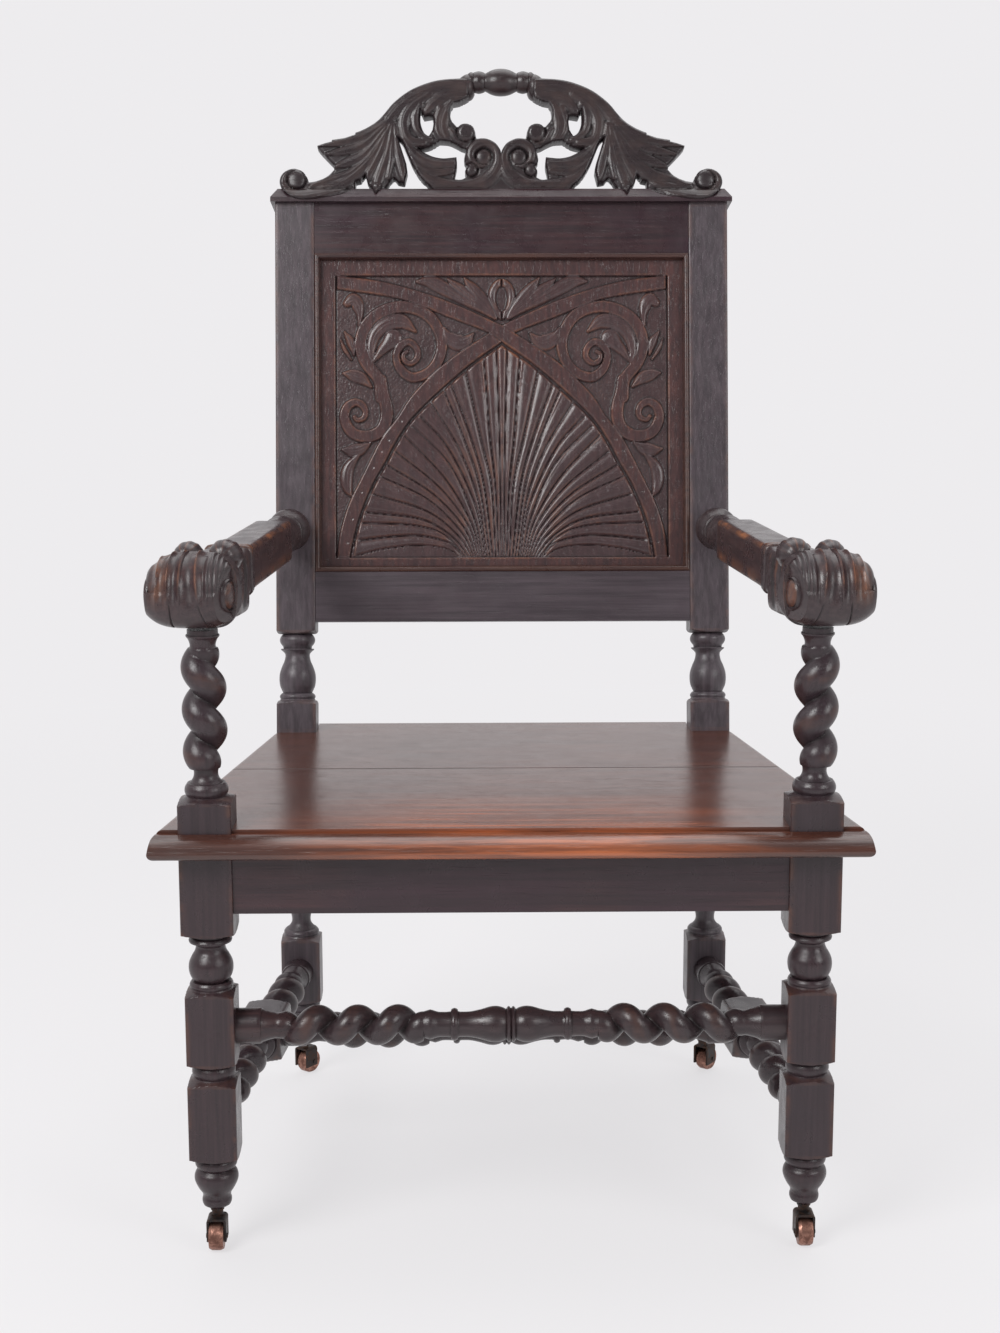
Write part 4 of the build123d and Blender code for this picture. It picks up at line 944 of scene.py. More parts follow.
@dataclass
class Legs:
    """The four posts: turned feet, square blocks and what stands on them."""

    foot: float = 43.0             # underside, on the castor's socket
    low_block: tuple[float, float] = (99.9, 186.6)
    mid_block: tuple[float, float] = (202.2, 283.1)
    rail_block: float = 341.3      # where the square for the seat rails starts
    seat_square: float = 484.8     # top of the front posts' square
    collar: float = 656.2          # top of the front posts
    strand: Strand = Strand(16.5, 6.2, 43.0, -1, 330.0)

    def base(self, half: float) -> Lathe:
        """Foot and lower block.

        Args:
            half: Half of the block's square.

        Returns:
            The leg so far.
        """
        made = Lathe(self.foot, 7.2)
        made.run(14.2, 4.5).flow((2.5, 15.2), (6, 15.4), (9, 14.5))
        made.flow((4, 15.2), (10, 19.0), (17, 22.2), (22, 22.9), (27, 21.6), (31, 18.2))
        made.run(19.6, 1).bead(self.low_block[0] - made.height, 2.4)
        return made.block(half, self.low_block[1], flower=True)

    def front(self) -> Skin:
        """Left front post with its barley-twist arm support.

        Returns:
            Its skin.
        """
        made = self.base(25.0)
        made.radius = 19.3
        made.bead(self.mid_block[0] - made.height, 3.2)
        made.block(25.0, self.mid_block[1], flower=True)
        made.radius = 20.3
        made.bead(8.4, 2.2).step(17.2)
        made.flow((3, 19.8), (8, 22.1), (14, 22.9), (20, 22.2), (26, 19.6), (31, 16.6),
                  (35, 15.2))
        made.flow((3, 15.6), (6.5, 21.8)).run(22.3, 2).flow((3, 20.6), (4, 19.0))
        made.run(19.0, self.rail_block - made.height)
        made.block(27.0, self.seat_square)
        made.radius = 19.0
        made.bead(15.0, 3.2).step(16.9).swell(13.2, 15, -2.6)
        made.twist(self.strand, 637.0 - made.height, 13.2)
        made.flow((4, 13.0), (9, 14.6), (12, 16.9)).run(16.9, 1.5).step(15.6)
        made.run(15.5, self.collar - made.height)
        return made.skin(Place((-FRONT_X, FRONT_Y, 0)))

    def rear(self) -> Skin:
        """Left rear post: upright leg, and the raked stile above the seat.

        Returns:
            Its skin.
        """
        made = self.base(REAR_HALF)
        made.radius = 19.3
        made.bead(9, 3).step(18)
        made.flow((6, 13.2), (12, 11.8), (22, 13.6), (42, 19.6), (60, 22.6), (78, 21.6),
                  (96, 17.0), (110, 15.2))
        made.flow((4, 15.4), (8, 19.6)).run(20.5, 2)
        made.bead(self.rail_block - made.height, 3)
        made.block(REAR_HALF, SEAT_TOP, high=False)
        x = -(FRONT_X - INSET)
        skin = made.skin(Place((x, REAR_AXIS_Y, 0)))
        stile = Lathe(-4.4, REAR_HALF)
        stile.block(REAR_HALF, 35.8, low=False)
        stile.radius = 19.3
        stile.bead(9, 3.2).step(18.2)
        stile.flow((4, 20.0), (9, 22.0), (17, 22.9), (25, 22.2), (33, 19.6), (40, 16.6),
                   (46, 15.3))
        stile.flow((3, 15.6), (6, 18.0), (8, 20.6)).run(20.8, 1.5).step(17.6).run(18.2, 3)
        stile.bead(119.0 - stile.height, 4.0)
        stile.block(REAR_HALF, 657.2, high=False)
        return stile.skin(Place((x, REAR_AXIS_Y, SEAT_TOP), y=BACK.y, z=BACK.z), skin)

    def build(self) -> None:
        """Make all four posts."""
        self.front().pair("front_post", "turned", OAK_POST)
        self.rear().pair("rear_post", "turned", OAK_STILE)


@dataclass
class Stretchers:
    """Front rung and the H of twisted stretchers."""

    front_z: float = 241.5
    low_z: float = 143.5
    front_half: float = 283.5
    middle_half: float = 257.36
    block_y: float = 257.5         # front posts' axes to the side stretchers' blocks
    block_half: float = 40.0 * OBLIQUE
    front_span: float = 192.5      # block to front post, along Y
    rear_span: float = 173.0
    let_in: float = 2.5            # how far a barrel runs into its leg
    strand: Strand = Strand(13.4, 7.6, 41.5, 1, 287.0)
    side_strand: Strand = Strand(13.4, 7.6, 43.0, 1, 0.0)
    neck: float = 13.4

    def end(self, made: Lathe, until: float, strand: Strand) -> Lathe:
        """Twist, waist with its small ring, and the plain barrel at the leg.

        Args:
            made: The bar so far.
            until: Where the barrel ends.
            strand: One strand of the twist.

        Returns:
            The bar.
        """
        made.twist(strand, until - made.height - 45.0, self.neck)
        made.flow((5, 13.0), (12, 14.6), (19, 17.0)).step(18.0).flow((3, 18.5), (9, 18.4))
        made.run(18.3, until - made.height)
        return made

    def half_rung(self, half: float) -> Lathe:
        """Half of a cross rung, from its middle to the leg.

        Args:
            half: Its length.

        Returns:
            The bar.
        """
        made = Lathe(0.0, 16.0)
        made.bead(4.8, 2.4).step(15.4).flow((4, 17.4), (10, 18.6), (17, 18.0),
                                            (27, 15.2), (38, 13.1), (48, 12.9))
        made.flow((2, 13.6)).step(15.2).bead(7.0, 1.6).step(13.2)
        made.flow((6, 12.8), (13, 13.0), (19, 14.8)).run(15.4, 2.5)
        made.run(13.6, 90.0 - made.height)
        return self.end(made, half, self.strand)

    def cross(self, half: float, y: float, z: float) -> Skin:
        """A whole cross rung, alike on both sides."""
        place = Place((0, y, z), x=(0, 0, -1), y=(0, 1, 0), z=(1, 0, 0))
        return self.half_rung(half).skin(place).doubled()

    def side(self) -> Skin:
        """Left side stretcher: two twisted bars either side of a block.

        Returns:
            Its skin.
        """
        x = -(FRONT_X - self.block_y / DEPTH * INSET)
        ahead = (math.sin(SPLAY), math.cos(SPLAY), 0.0)
        out = (math.cos(SPLAY), -math.sin(SPLAY), 0.0)
        middle = Lathe(-self.block_half, RING)
        middle.block(25.0, self.block_half, shoulder=13.0)
        place = Place((x, FRONT_Y + self.block_y, self.low_z), out, (0, 0, -1), ahead)
        skin = middle.skin(place)
        for span, sign in ((self.rear_span, 1), (self.front_span, -1)):
            bar = Lathe(self.block_half - 0.5, 18.3)
            bar.bead(8, 2.4).run(self.neck, 5)
            until = self.block_half + span * OBLIQUE + self.let_in
            self.end(bar, until, self.side_strand)
            axis = tuple(sign * v for v in ahead)
            bar.skin(Place(place.origin, out, (0, 0, -sign), axis), skin)
        return skin

    def build(self) -> None:
        """Make the four stretchers."""
        rungs = (("front_stretcher", self.front_half, FRONT_Y, self.front_z),
                 ("middle_stretcher", self.middle_half + self.let_in,
                  FRONT_Y + self.block_y, self.low_z))
        for name, half, y, z in rungs:
            self.cross(half, y, z).piece(f"{name}_twisted", OAK_RUNG, "oak", [name])
        self.side().pair("side_stretcher", "twisted", OAK_SIDE)


# ----------------------------------------------------------------- back panel
@dataclass(frozen=True)
class Ribbon:
    """Carved form along a line: x, height and half-width at each point."""

    line: tuple
    top: float = 0.0       # height against the panel's plain face
    domed: bool = False
    vein: float = 0.0

    def carve(self, x: Array, h: Array, face: Array, floor: float) -> Array:
        """Raise this form out of the ground.

        Args:
            x: Across, for every point of the panel.
            h: Up the panel, for every point.
            face: Height of the face so far, changed in place.
            floor: Height of the sunk ground.

        Returns:
            Share of each point that this form covers.
        """
        line = flowing(self.line, 2.0)
        reach = line[:, 2].max() + 3
        near = ((x > line[:, 0].min() - reach) & (x < line[:, 0].max() + reach)
                & (h > line[:, 1].min() - reach) & (h < line[:, 1].max() + reach))
        cover = np.zeros(x.shape)
        if not near.any():
            return cover
        away, width, _, _ = to_line(x[near], h[near], line)
        width = np.maximum(width[..., 0], 0.4)
        if self.domed:
            share = dome(away, width) - self.vein * bell(away, 0.9)
            share = np.where(away < width, share, 0)
        else:
            share = smooth(width - away, -0.9, 0.9)
        face[near] = np.maximum(face[near], floor + (self.top - floor) * share)
        cover[near] = smooth(width - away, -0.8, 0.8)
        return cover


@dataclass
class Panel:
    """Back panel with its sunk, carved field, on the raked back."""

    half: float = 242.0
    base: float = 188.2
    top: float = 602.0
    face_depth: float = -15.5      # plain face; negative is before the stiles' axes
    thick: float = 14.0
    field_half: float = 208.5
    field_base: float = 214.0
    field_top: float = 567.6
    crossing: float = 484.0        # height where the straps' lower edges meet
    ground: float = -3.4           # sunk ground, against the plain face
    pitch: float = 1.1             # between the points of the mesh
    strap_upper: tuple = (
        (-206, 568.2), (-147, 560.1), (-75.3, 538.9), (-3.7, 507.4), (18.6, 494.5),
        (70.1, 459.7), (110.6, 421.1), (131.5, 390.4), (152.6, 362.2), (165.1, 338.5),
        (177.7, 313.2), (188.9, 290.7), (197.2, 269.7), (204.2, 243), (207.5, 213))
    strap_lower: tuple = (
        (-206, 551), (-125, 537.9), (-69.9, 516.7), (-16.6, 496), (3.8, 481.7),
        (40.7, 455.9), (83.1, 419.2), (114.5, 388), (134.4, 358.1), (146.9, 334.2),
        (160.9, 310.3), (172.1, 285.1), (180.5, 262.7), (187.5, 236), (191.6, 213))
    big_scroll: tuple = (
        (-152, 415, 7.2), (-154.5, 437.5, 7.2), (-171, 459.6, 7.2),
        (-177.4, 481.8, 7.2), (-171, 503.9, 7.4), (-154.5, 520.5, 7.4),
        (-128.8, 528.8, 7.4), (-103.1, 524.2, 7.2), (-84.7, 509.4, 7.0),
        (-75.5, 485.4, 6.8), (-79.2, 463.3, 6.6), (-92.1, 446.7, 6.4),
        (-112.3, 440.3, 6.2), (-127, 450.4, 5.6), (-132.1, 467, 5.2),
        (-127, 479.9, 4.8), (-115.9, 484.5, 4.4), (-106.8, 476.2, 4.0),
        (-105.8, 465.2, 3.8), (-114.1, 457.8, 3.4), (-122.4, 461.5, 3.0),
        (-123.6, 468.8, 2.6), (-119.0, 472.4, 2.2))
    small_scroll: tuple = (
        (-152, 437, 7.4), (-149.5, 420, 7.6), (-145.5, 405, 7.8), (-144.6, 392, 7.8),
        (-149, 377.5, 7.8), (-159, 369, 7.6), (-172, 366, 7.4), (-185.5, 369.5, 7.0),
        (-194, 379, 6.6), (-197.6, 392, 6.2), (-193.8, 403.5, 5.6),
        (-184.5, 409, 5.0), (-175.2, 405.5, 4.4), (-171.2, 397, 3.8),
        (-174, 389.2, 3.4), (-181.5, 386.8, 2.8), (-185.5, 391.0, 2.2))
    grooves: tuple = (
        ((-183.2, 215.8), (-154.7, 223.3), (-120.8, 228.1), (-100.5, 228.7),
         (-80.1, 226.7), (-63.8, 221.9), (-55.7, 215.1)),
        ((-177.8, 235.6), (-139, 240.2), (-100.5, 241), (-64, 231), (-50.8, 215)),
        ((-175.1, 257.4), (-114, 254.6), (-73.3, 243), (-46.8, 215)),
        ((-170.3, 271), (-100.5, 261.5), (-62, 239), (-42.8, 215)),
        ((-160.2, 292.8), (-93.7, 271.5), (-56, 242), (-39.2, 215)),
        ((-152.7, 316), (-93.7, 287.3), (-53, 248), (-36.2, 215)),
        ((-143.9, 329.6), (-86.9, 293.6), (-49, 253), (-33.4, 215)),
        ((-133, 346), (-80.1, 303.5), (-45, 258), (-30.6, 215)),
        ((-122.2, 366.4), (-74, 316), (-41, 262), (-27.8, 215)),
        ((-111.3, 378), (-66, 331), (-37, 268), (-25.0, 215)),
        ((-101.8, 390), (-67.9, 351.4), (-34, 280), (-22.2, 215)),
        ((-90.5, 411), (-54.3, 351.4), (-31.5, 290), (-19.4, 215)),
        ((-74, 427), (-45, 356), (-28.3, 302), (-16.0, 215)),
        ((-64.5, 435), (-38, 361), (-22.5, 302), (-12.4, 215)),
        ((-46, 451), (-28, 370), (-13.6, 302.3), (-8.6, 215)),
        ((-23, 469), (-15.5, 370), (-8.4, 300), (-5.0, 215)),
        ((-7, 480), (-3.6, 370), (-2.4, 300), (-1.6, 215)))
    pegs: tuple = ((152, 347.3), (188.6, 262.8), (194.8, 232.8), (126.7, 385.4),
                   (142.8, 361.5), (162.3, 327.2), (177, 296.3))

    @staticmethod
    def leaves() -> list[Ribbon]:
        """Leaves and husks round the scrolls, left half.

        Returns:
            The leaves, each along its own line.
        """
        def leaf(*points: tuple, vein: float = 0.12) -> Ribbon:
            """A domed leaf through (x, height, half-width) points."""
            fat = tuple((x, h, 1.6 * w) for x, h, w in points)
            return Ribbon(fat, 0.8, True, vein)

        return [
            leaf((-161.8, 457.8, 1), (-164.0, 476.2, 4), (-158.2, 495.5, 5.2),
                 (-143.5, 508.0, 6.0), (-125.1, 510.0, 6.0), (-108.6, 498.3, 1.5)),
            leaf((-160.5, 461, 1.5), (-152.5, 472, 3.6), (-143.5, 481.5, 5.4),
                 (-136.4, 489.0, 7.6), vein=0.0),
            leaf((-179.3, 505.4, 1), (-178.0, 519.5, 3.2), (-181.0, 531.4, 5.4),
                 (-187.0, 537.5, 5.6), (-194.0, 533.5, 3.4)),
            leaf((-197.6, 497.6, 0.8), (-189.5, 484.8, 3.6), (-185.6, 468.8, 1.0)),
            leaf((-202.6, 489, 0.6), (-197.2, 475.2, 1.7), (-188.5, 462.3, 0.8)),
            leaf((-198.7, 445.5, 1.2), (-188.5, 443.5, 4.6), (-175.7, 438.5, 4.8),
                 (-164.0, 428.3, 1.2)),
            leaf((-72.4, 502.5, 0.8), (-67.5, 491.5, 5.0), (-57, 484.4, 6.6),
                 (-46, 484.5, 6.0), (-35.4, 495.5, 0.8), vein=0.1),
            leaf((-201, 350, 1.0), (-189.5, 348.2, 5.0), (-178, 350.2, 5.2),
                 (-165, 358, 0.8)),
            leaf((-177.5, 345.5, 0.8), (-191.6, 329, 4.6), (-195.4, 313, 5.2),
                 (-193.2, 299, 3.6), (-188.8, 291.2, 0.8)),
            leaf((-106, 560.5, 1.5), (-90, 560.5, 5.2), (-73, 552, 5.6),
                 (-50, 538.5, 4.0), (-24, 524, 2.4), (-8, 513.5, 1.0)),
            leaf((-68, 564, 0.8), (-55, 553.5, 3.8), (-39, 541, 5.0),
                 (-21, 526, 3.2), (-8, 515, 1.2)),
            leaf((-47, 565, 0.8), (-38, 553, 4.6), (-27.5, 540, 5.6),
                 (-15.5, 526, 4.0), (-7, 514, 1.2)),
        ]

    def strap(self, x: Array, h: Array) -> Array:
        """Signed distance into one crossing strap: positive inside.

        Args:
            x: Across, for every point of the panel.
            h: Up the panel, for every point.

        Returns:
            The distances.
        """
        upper, lower = flowing(self.strap_upper, 4), flowing(self.strap_lower, 4)
        ring = np.vstack([upper, lower[::-1]])
        away = np.minimum(to_line(x, h, upper)[0], to_line(x, h, lower)[0])
        return np.where(inside(x, h, ring), away, -away)

    def fan(self, x: Array, h: Array, gap: Array) -> tuple[Array, Array]:
        """Reeds of the fan in the left half.

        Args:
            x: Across, at most 0.
            h: Up the panel.
            gap: Distance below the straps, negative on them.

        Returns:
            Height of the reeds against the face, and where there are any.
        """
        near, next_ = np.full(x.shape, 1e6), np.full(x.shape, 1e6)
        which, other = np.zeros(x.shape, int), np.zeros(x.shape, int)
        lines = [flowing(line, 5) for line in self.grooves]
        lines.append(lines[-1] * np.array([-1, 1]))
        for number, line in enumerate(lines):
            away = to_line(x, h, line)[0]
            first, second = away < near, (away >= near) & (away < next_)
            next_ = np.where(first, near, np.where(second, away, next_))
            other = np.where(first, which, np.where(second, number, other))
            near = np.where(first, away, near)
            which = np.where(first, number, which)
        share = near / np.maximum(near + next_, 1e-6)
        share = np.where(which < other, share, 1 - share)
        lean = np.clip(share, 0, 1) ** 0.88
        reed = dome(2 * lean - 1)
        lowest = lines[0]
        above = h > np.interp(x, lowest[:, 0], lowest[:, 1], right=214)
        end = smooth(gap, 1.6, 5.0)
        where = above & (gap > 1.2) & (x > -186)
        room = np.clip((near + next_) / 7.0, 0.25, 1)
        low = self.ground - 0.9
        return low + (4.0 * room + 0.5) * reed * end - 0.4 * (1 - room), where

    def carving(self, x: Array, h: Array) -> tuple[Array, Array, Array]:
        """Height of the face, its reddish share and its share of dark wax and painted
        shade.

        Args:
            x: Across, for every point of the panel.
            h: Up the panel, for every point.

        Returns:
            The three, for every point.
        """
        left = -np.abs(x)
        # the sunk field, and the fan below the two crossing straps
        field_in = np.minimum(self.field_half - np.abs(x),
                              np.minimum(h - self.field_base, self.field_top - h))
        sunk = smooth(field_in, -0.7, 0.7)      # 1 in the field, 0 on its border
        face = np.where(field_in > -1, self.ground, 0.0)
        one, two = self.strap(x, h), self.strap(-x, h)
        arch = -np.maximum(one, two)            # distance outside both straps
        under = np.interp(np.abs(x), [p[0] for p in self.strap_lower[4:]],
                          [p[1] for p in self.strap_lower[4:]], left=self.crossing)
        beneath = (h < under) & (np.abs(x) < 192)
        gap = np.where(beneath, np.abs(arch), -1.0)
        reeds, where = self.fan(left, h, gap)
        face = np.where(where & (field_in > 0), reeds, face)
        lens = beneath & ~where & (gap > 1.2) & (field_in > 0)
        face = np.where(lens, self.ground * 0.55, face)
        # scrolls, leaves and bud, then the straps over them
        warm = np.zeros(x.shape)
        for scroll in (self.big_scroll, self.small_scroll):
            warm = np.maximum(warm, Ribbon(scroll).carve(left, h, face, self.ground))
        for leaf in self.leaves():
            leaf.carve(left, h, face, self.ground)
        self.bud(left, h, face)
        for inset in (one, two):
            rise = self.ground * (1 - smooth(inset, -0.8, 0.8))
            face = np.maximum(face, np.where(inset > -1.5, rise, -np.inf))
            warm = np.maximum(warm, smooth(inset, -0.5, 0.8))
        # lines along the straps' edges, peg marks, and the groove round the field
        line = bell(two, 0.9) * (one < 0.5) + bell(one, 0.9)
        face -= 0.8 * line * ((np.abs(one) < 2.5) | (np.abs(two) < 2.5))
        for px, ph in self.pegs:
            face -= 0.9 * bell((np.abs(x) - px) ** 2 + (h - ph) ** 2, 2.2)
        face = face * sunk
        border = 1 - sunk
        face -= 0.6 * bell(field_in - 0.6, 0.8)
        # painted shade with dark wax, darker the deeper the ground lies
        soot = np.clip((-face - 0.6) / 3.4, 0, 1) * sunk
        return face, np.maximum(0.75 * warm, 0.8 * border), soot

    def bud(self, x: Array, h: Array, face: Array) -> None:
        """Oval bud, hollow in the middle, under the field's top edge.

        Args:
            x: Across, for every point of the panel.
            h: Up the panel, for every point.
            face: Height of the face so far, changed in place.
        """
        up, broad = h - 541.0, 17.6
        width = np.where(up < 0, broad * np.clip(1 + up / 29.0, 0, 1) ** 0.55,
                         broad * dome(up, 23.0))
        hole = 6.6 * dome(up + 2, 15.5)
        middle, half = (width + hole) / 2, np.maximum((width - hole) / 2, 0.1)
        raised = self.ground + 4.2 * dome(np.abs(x) - middle, half)
        face[:] = np.maximum(face, np.where(width > 0.5, raised, -np.inf))

    def build(self) -> None:
        """Make the panel."""
        across = np.arange(-self.half, self.half + 0.5, self.pitch)
        up = np.arange(self.base, self.top + 0.5, self.pitch)
        x, h = np.meshgrid(across, up)
        face, warm, soot = self.carving(x, h)
        rng = np.random.default_rng(7)
        rough = rng.normal(0, 0.16, x.shape) * (soot > 0.6) * (warm < 0.05)
        bend = curvature(face + rough)
        high = np.exp(-((x / 75) ** 2 + ((h - 455) / 70) ** 2))
        # wear with painted highlight: lighter bare wood on the carving's ridges, most
        # near the middle
        ridge_wear_and_highlight = np.clip(-bend * 1.1 - 0.15, 0, 0.5) * (0.5 + 0.5 * high)
        warm = np.maximum(warm, 0.85 * high * (h < 478))
        # painted shade with dark wax in the dips of the carving, added to the depth shade
        soot = np.clip(soot * 0.22 + np.clip(bend * 0.7, 0, 0.5), 0, 1)
        local = np.stack([x, self.face_depth - face - rough, h], -1)
        skin = Skin()
        skin.grid(BACK.world(local), wear=ridge_wear_and_highlight, soot=soot, warm=warm)
        # edges and plain back of the board
        rim = np.vstack([np.stack([across, 0 * across + self.base], 1),
                         np.stack([0 * up + self.half, up], 1),
                         np.stack([across, 0 * across + self.top], 1)[::-1],
                         np.stack([0 * up - self.half, up], 1)[::-1]])
        back = self.face_depth + self.thick
        walls = [np.stack([rim[:, 0], np.full(len(rim), depth), rim[:, 1]], 1)
                 for depth in (back, self.face_depth)]
        skin.grid(BACK.world(np.array(walls)), around=True)
        board = np.array([[(side, back, level)
                           for side in np.linspace(self.half, -self.half, 9)]
                          for level in (self.base, (self.base + self.top) / 2, self.top)])
        skin.grid(BACK.world(board), warm=0.2)
        skin.piece("back_panel_carved", OAK_PANEL, "oak_panel", ["back_panel"], 60)


# -------------------------------------------------------------------- cresting
@dataclass
class Cresting:
    """Pierced, carved cresting on the cap: leaves, scrolls and a turned grip."""

    base: float = 674.7        # up the rake to the top of the cap
    front: float = -27.0       # highest face; negative is before the stiles' axes
    back: float = 2.4
    pitch: float = 1.4         # between the points of the mesh
    edge: float = 3.2          # width of the rounded edges
    valley: float = 3.6        # depth between the lobes
    bevel: float = 0.708       # slope of the cap's front under the board
    cap_end: float = -150.0    # outside this the board hangs in front of the cap
    outline: tuple = (
        (0, -7), (-149, -7), (-152, -1.5), (-157, -8.6), (-161.5, -1), (-182, -1),
        ((-196, -7.5), (-214, -12.5), (-232, -15.2), (-247, -15.8), (-262, -12),
         (-272, -3.5), (-277, 8), (-273.5, 19), (-262, 25.5), (-250, 23.5), (-243.4, 16),
         (-240.6, 8.8)), ((-228, 11.2), (-216, 17.5), (-209.2, 24.5)), (-208.5, 29.5),
        (-214, 35), (-219.8, 41), (-224.6, 46), (-231, 53.4), ((-220.5, 57.2),
         (-212, 59.5)), (-211.6, 61.6), ((-203, 62.6), (-194.6, 64)), (-182.4, 68.4),
        (-182.6, 70.8), ((-170, 76.2), (-158.4, 83), (-147, 94), (-136.3, 106.5),
         (-124, 117), (-110.7, 125.6), (-95, 132), (-80, 136.3), (-60, 138.8),
         (-40, 139.5)), (-40, 115.3), ((-50, 109.8), (-59.2, 107.7)), ((-63.3, 100),
         (-62.8, 88), (-55.4, 78)), ((-50.5, 81.6), (-43.9, 82.6), (-36, 79.5),
         (-32.2, 70.7)), (-31.1, 63.7), ((-19, 63.2), (-8, 58), (-2, 50.6), (0, 45.2)),
        (0, -7))
    holes: tuple = (
        ((-147.5, -8.5), (-145, 2), (-138.5, 10), (-133.7, 14.8), (-129.5, 9.2),
         (-121, 7.5), (-117.4, 22.2), (-118.6, 31.2), (-124.8, 50.3), (-129.4, 65.5),
         ((-123.5, 59.2), (-118, 46.4), (-110.8, 29.8), (-101.3, 14.5), (-89.4, 3),
          (-80, -8.5)), (-147.5, -8.5)),
        ((-103.8, 51.6), ((-96, 46), (-86, 41.3), (-76, 39.2), (-70, 39)), (-56, 40.4),
         ((-55.4, 30), (-57.4, 20), (-58.5, 12.6)), ((-50, 12.4), (-42.6, 15.8)),
         ((-45.6, 22), (-42.2, 28)), ((-46.4, 36), (-44, 50)), (-50.3, 52.2),
         ((-58, 56.4), (-66, 59.6), (-77, 60.4)), ((-86, 54.6), (-96, 51.6),
          (-103.8, 51.6))),
        ((-101.3, 101.3), (-96.8, 90.5), (-86, 92.3), ((-84.4, 84), (-86.4, 74),
          (-91.1, 66.2)), ((-97.5, 73), (-101, 85), (-101.3, 101.3))),
        ((-183, -3), (-182.3, 9.6), (-175.9, 11), (-170.1, 19), (-167.5, 8), (-160, -3),
         (-183, -3)))
    lobes: tuple = (
        ((-42, 128, 10), (-78.6, 127.8, 9), (-106.5, 117.8, 9), (-126.5, 103.9, 8.5),
         (-140.4, 87.9, 8)),
        ((-46.7, 114.5, 8), (-70, 116, 9), (-84, 108, 8), (-93, 97.9, 5)),
        ((-90, 119, 6), (-112, 104, 7.5), (-121.5, 85.9, 7.5), (-119, 66, 6.5),
         (-110, 58.5, 6), (-97, 58, 5)),
        ((-101, 106, 5), (-108, 90, 5.5), (-106, 74, 5), (-98, 66, 4), (-88, 61, 4)),
        ((-59, 109, 7), (-68, 98, 8), (-73, 84, 8), (-71.5, 70, 7), (-66, 60, 5)),
        ((-76, 100, 6), (-81, 84, 5), (-79, 70, 4), (-73, 62, 3)),
        ((-64, 74, 3), (-57, 66, 5.5), (-48, 61, 5.5), (-40, 62, 4)),
        ((-126.5, 62, 5), (-114.5, 35, 8), (-96, 15, 9), (-72, 4.5, 8), (-40, 3.5, 7.5),
         (-16, 12, 9), (-3.5, 31, 8), (-5, 50, 7), (-20, 59, 6), (-35, 52, 5.5),
         (-38.5, 40, 5), (-31, 30.5, 4.5), (-20, 32, 4.2), (-15.5, 41, 3.8),
         (-22, 46.5, 3)),
        ((-123, 62, 4), (-106, 41, 5.5), (-88, 31.5, 5.5), (-70, 30, 5), (-57, 32, 4)),
        ((-112, 38, 4), (-95, 24, 5), (-78, 20.5, 5), (-60, 23, 4)),
        ((-138.4, 88, 6), (-170.3, 67, 7.5), (-200, 59.5, 6.5), (-230, 53.6, 1.5)),
        ((-141, 84, 4), (-172, 56, 6.5), (-198, 47, 5.5), (-219, 43, 2)),
        ((-143, 78, 4), (-170, 45, 6.5), (-192, 33, 6), (-209, 27, 2)),
        ((-144, 72, 4), (-160, 43, 6.5), (-184, 18, 8), (-210, 2, 9), (-235, -5.5, 9),
         (-255, -7.5, 8), (-268.5, -1, 7.5), (-273, 9, 6), (-268, 19, 5),
         (-258, 23, 3)),
        ((-150, 62, 3), (-168, 38, 4), (-190, 20, 4.5), (-212, 12, 4.5), (-236, 4, 4)),
        ((-139, 80, 4), (-152, 46, 6.5), (-166, 20, 7), (-176, 3, 4)),
        ((-136, 80, 4), (-142.4, 46, 6.5), (-153, 14, 7.5), (-157, -6, 4)),
        ((-133, 80, 4), (-129.5, 48, 6), (-124, 22, 6), (-120.5, 9, 3)),
        ((-135.5, 66, 3), (-138, 36, 4.5), (-141.5, 14, 3.5)))
    balls: tuple = ((-43.9, 70.7, 11.7, 5.0), (-37.5, 24, 7.6, 3.0),
                    (-256, 11.5, 11.5, 4.0), (-22.1, 40, 9.5, 3.0))

    def surface(self, x: Array, h: Array, into_wood: Array) -> tuple[Array, Array, Array]:
        """Depth of the carved front, its wear, and its dark wax and painted shade in
        creases.

        Args:
            x: Across, on the left half.
            h: Up from the cap's top.
            into_wood: Distance from the nearest edge.

        Returns:
            Depth behind the stile axis, wear, and dark wax with painted shade.
        """
        raised = np.zeros(x.shape)
        for lobe in self.lobes:
            away, width, _, _ = to_line(x, h, flowing(lobe, 3))
            width = np.maximum(1.08 * width[..., 0], 1.0)
            veins = 0.07 * np.cos(away * 2 * math.pi / 3.6) * (width > 4)
            raised = np.maximum(raised, dome(away, width) * (0.93 + veins))
        depth = self.front + self.valley * (1 - raised)
        for bx, bh, radius, proud in self.balls:
            far = np.hypot(x - bx, h - bh)
            ball = self.front + 3.5 - proud * dome(far, radius)
            ring = 3.0 * bell(far - radius, 1.5)
            depth = np.where(far < radius, ball, depth + ring)
        t = np.clip(into_wood / self.edge, 0, 1)
        depth = depth + self.edge * (1 - dome(1 - t)) * 0.9
        depth = np.maximum(depth, self.front - 0.5)
        # the foot: seated on the cap, or hung in front of it at its end
        below = np.minimum(h, 0)
        hung = depth + np.maximum(self.bevel * below, -8) - 2.0 * smooth(-h, 0, 4)
        hung = hung - 1.5 * smooth(6 - np.abs(h - 3), 0, 6)
        seated = np.where(h < 0, -23 + self.bevel * below,
                          np.maximum(depth, -24.2 - 0.9 * h))
        depth = np.where(x < self.cap_end, hung, seated)
        # painted shade with dark wax in the creases between the lobes
        crease = np.clip(-curvature(depth) * 0.9 - 0.1, 0, 1) * (t > 0.6)
        return depth, 0.04 * raised * (t > 0.8), 0.8 * crease

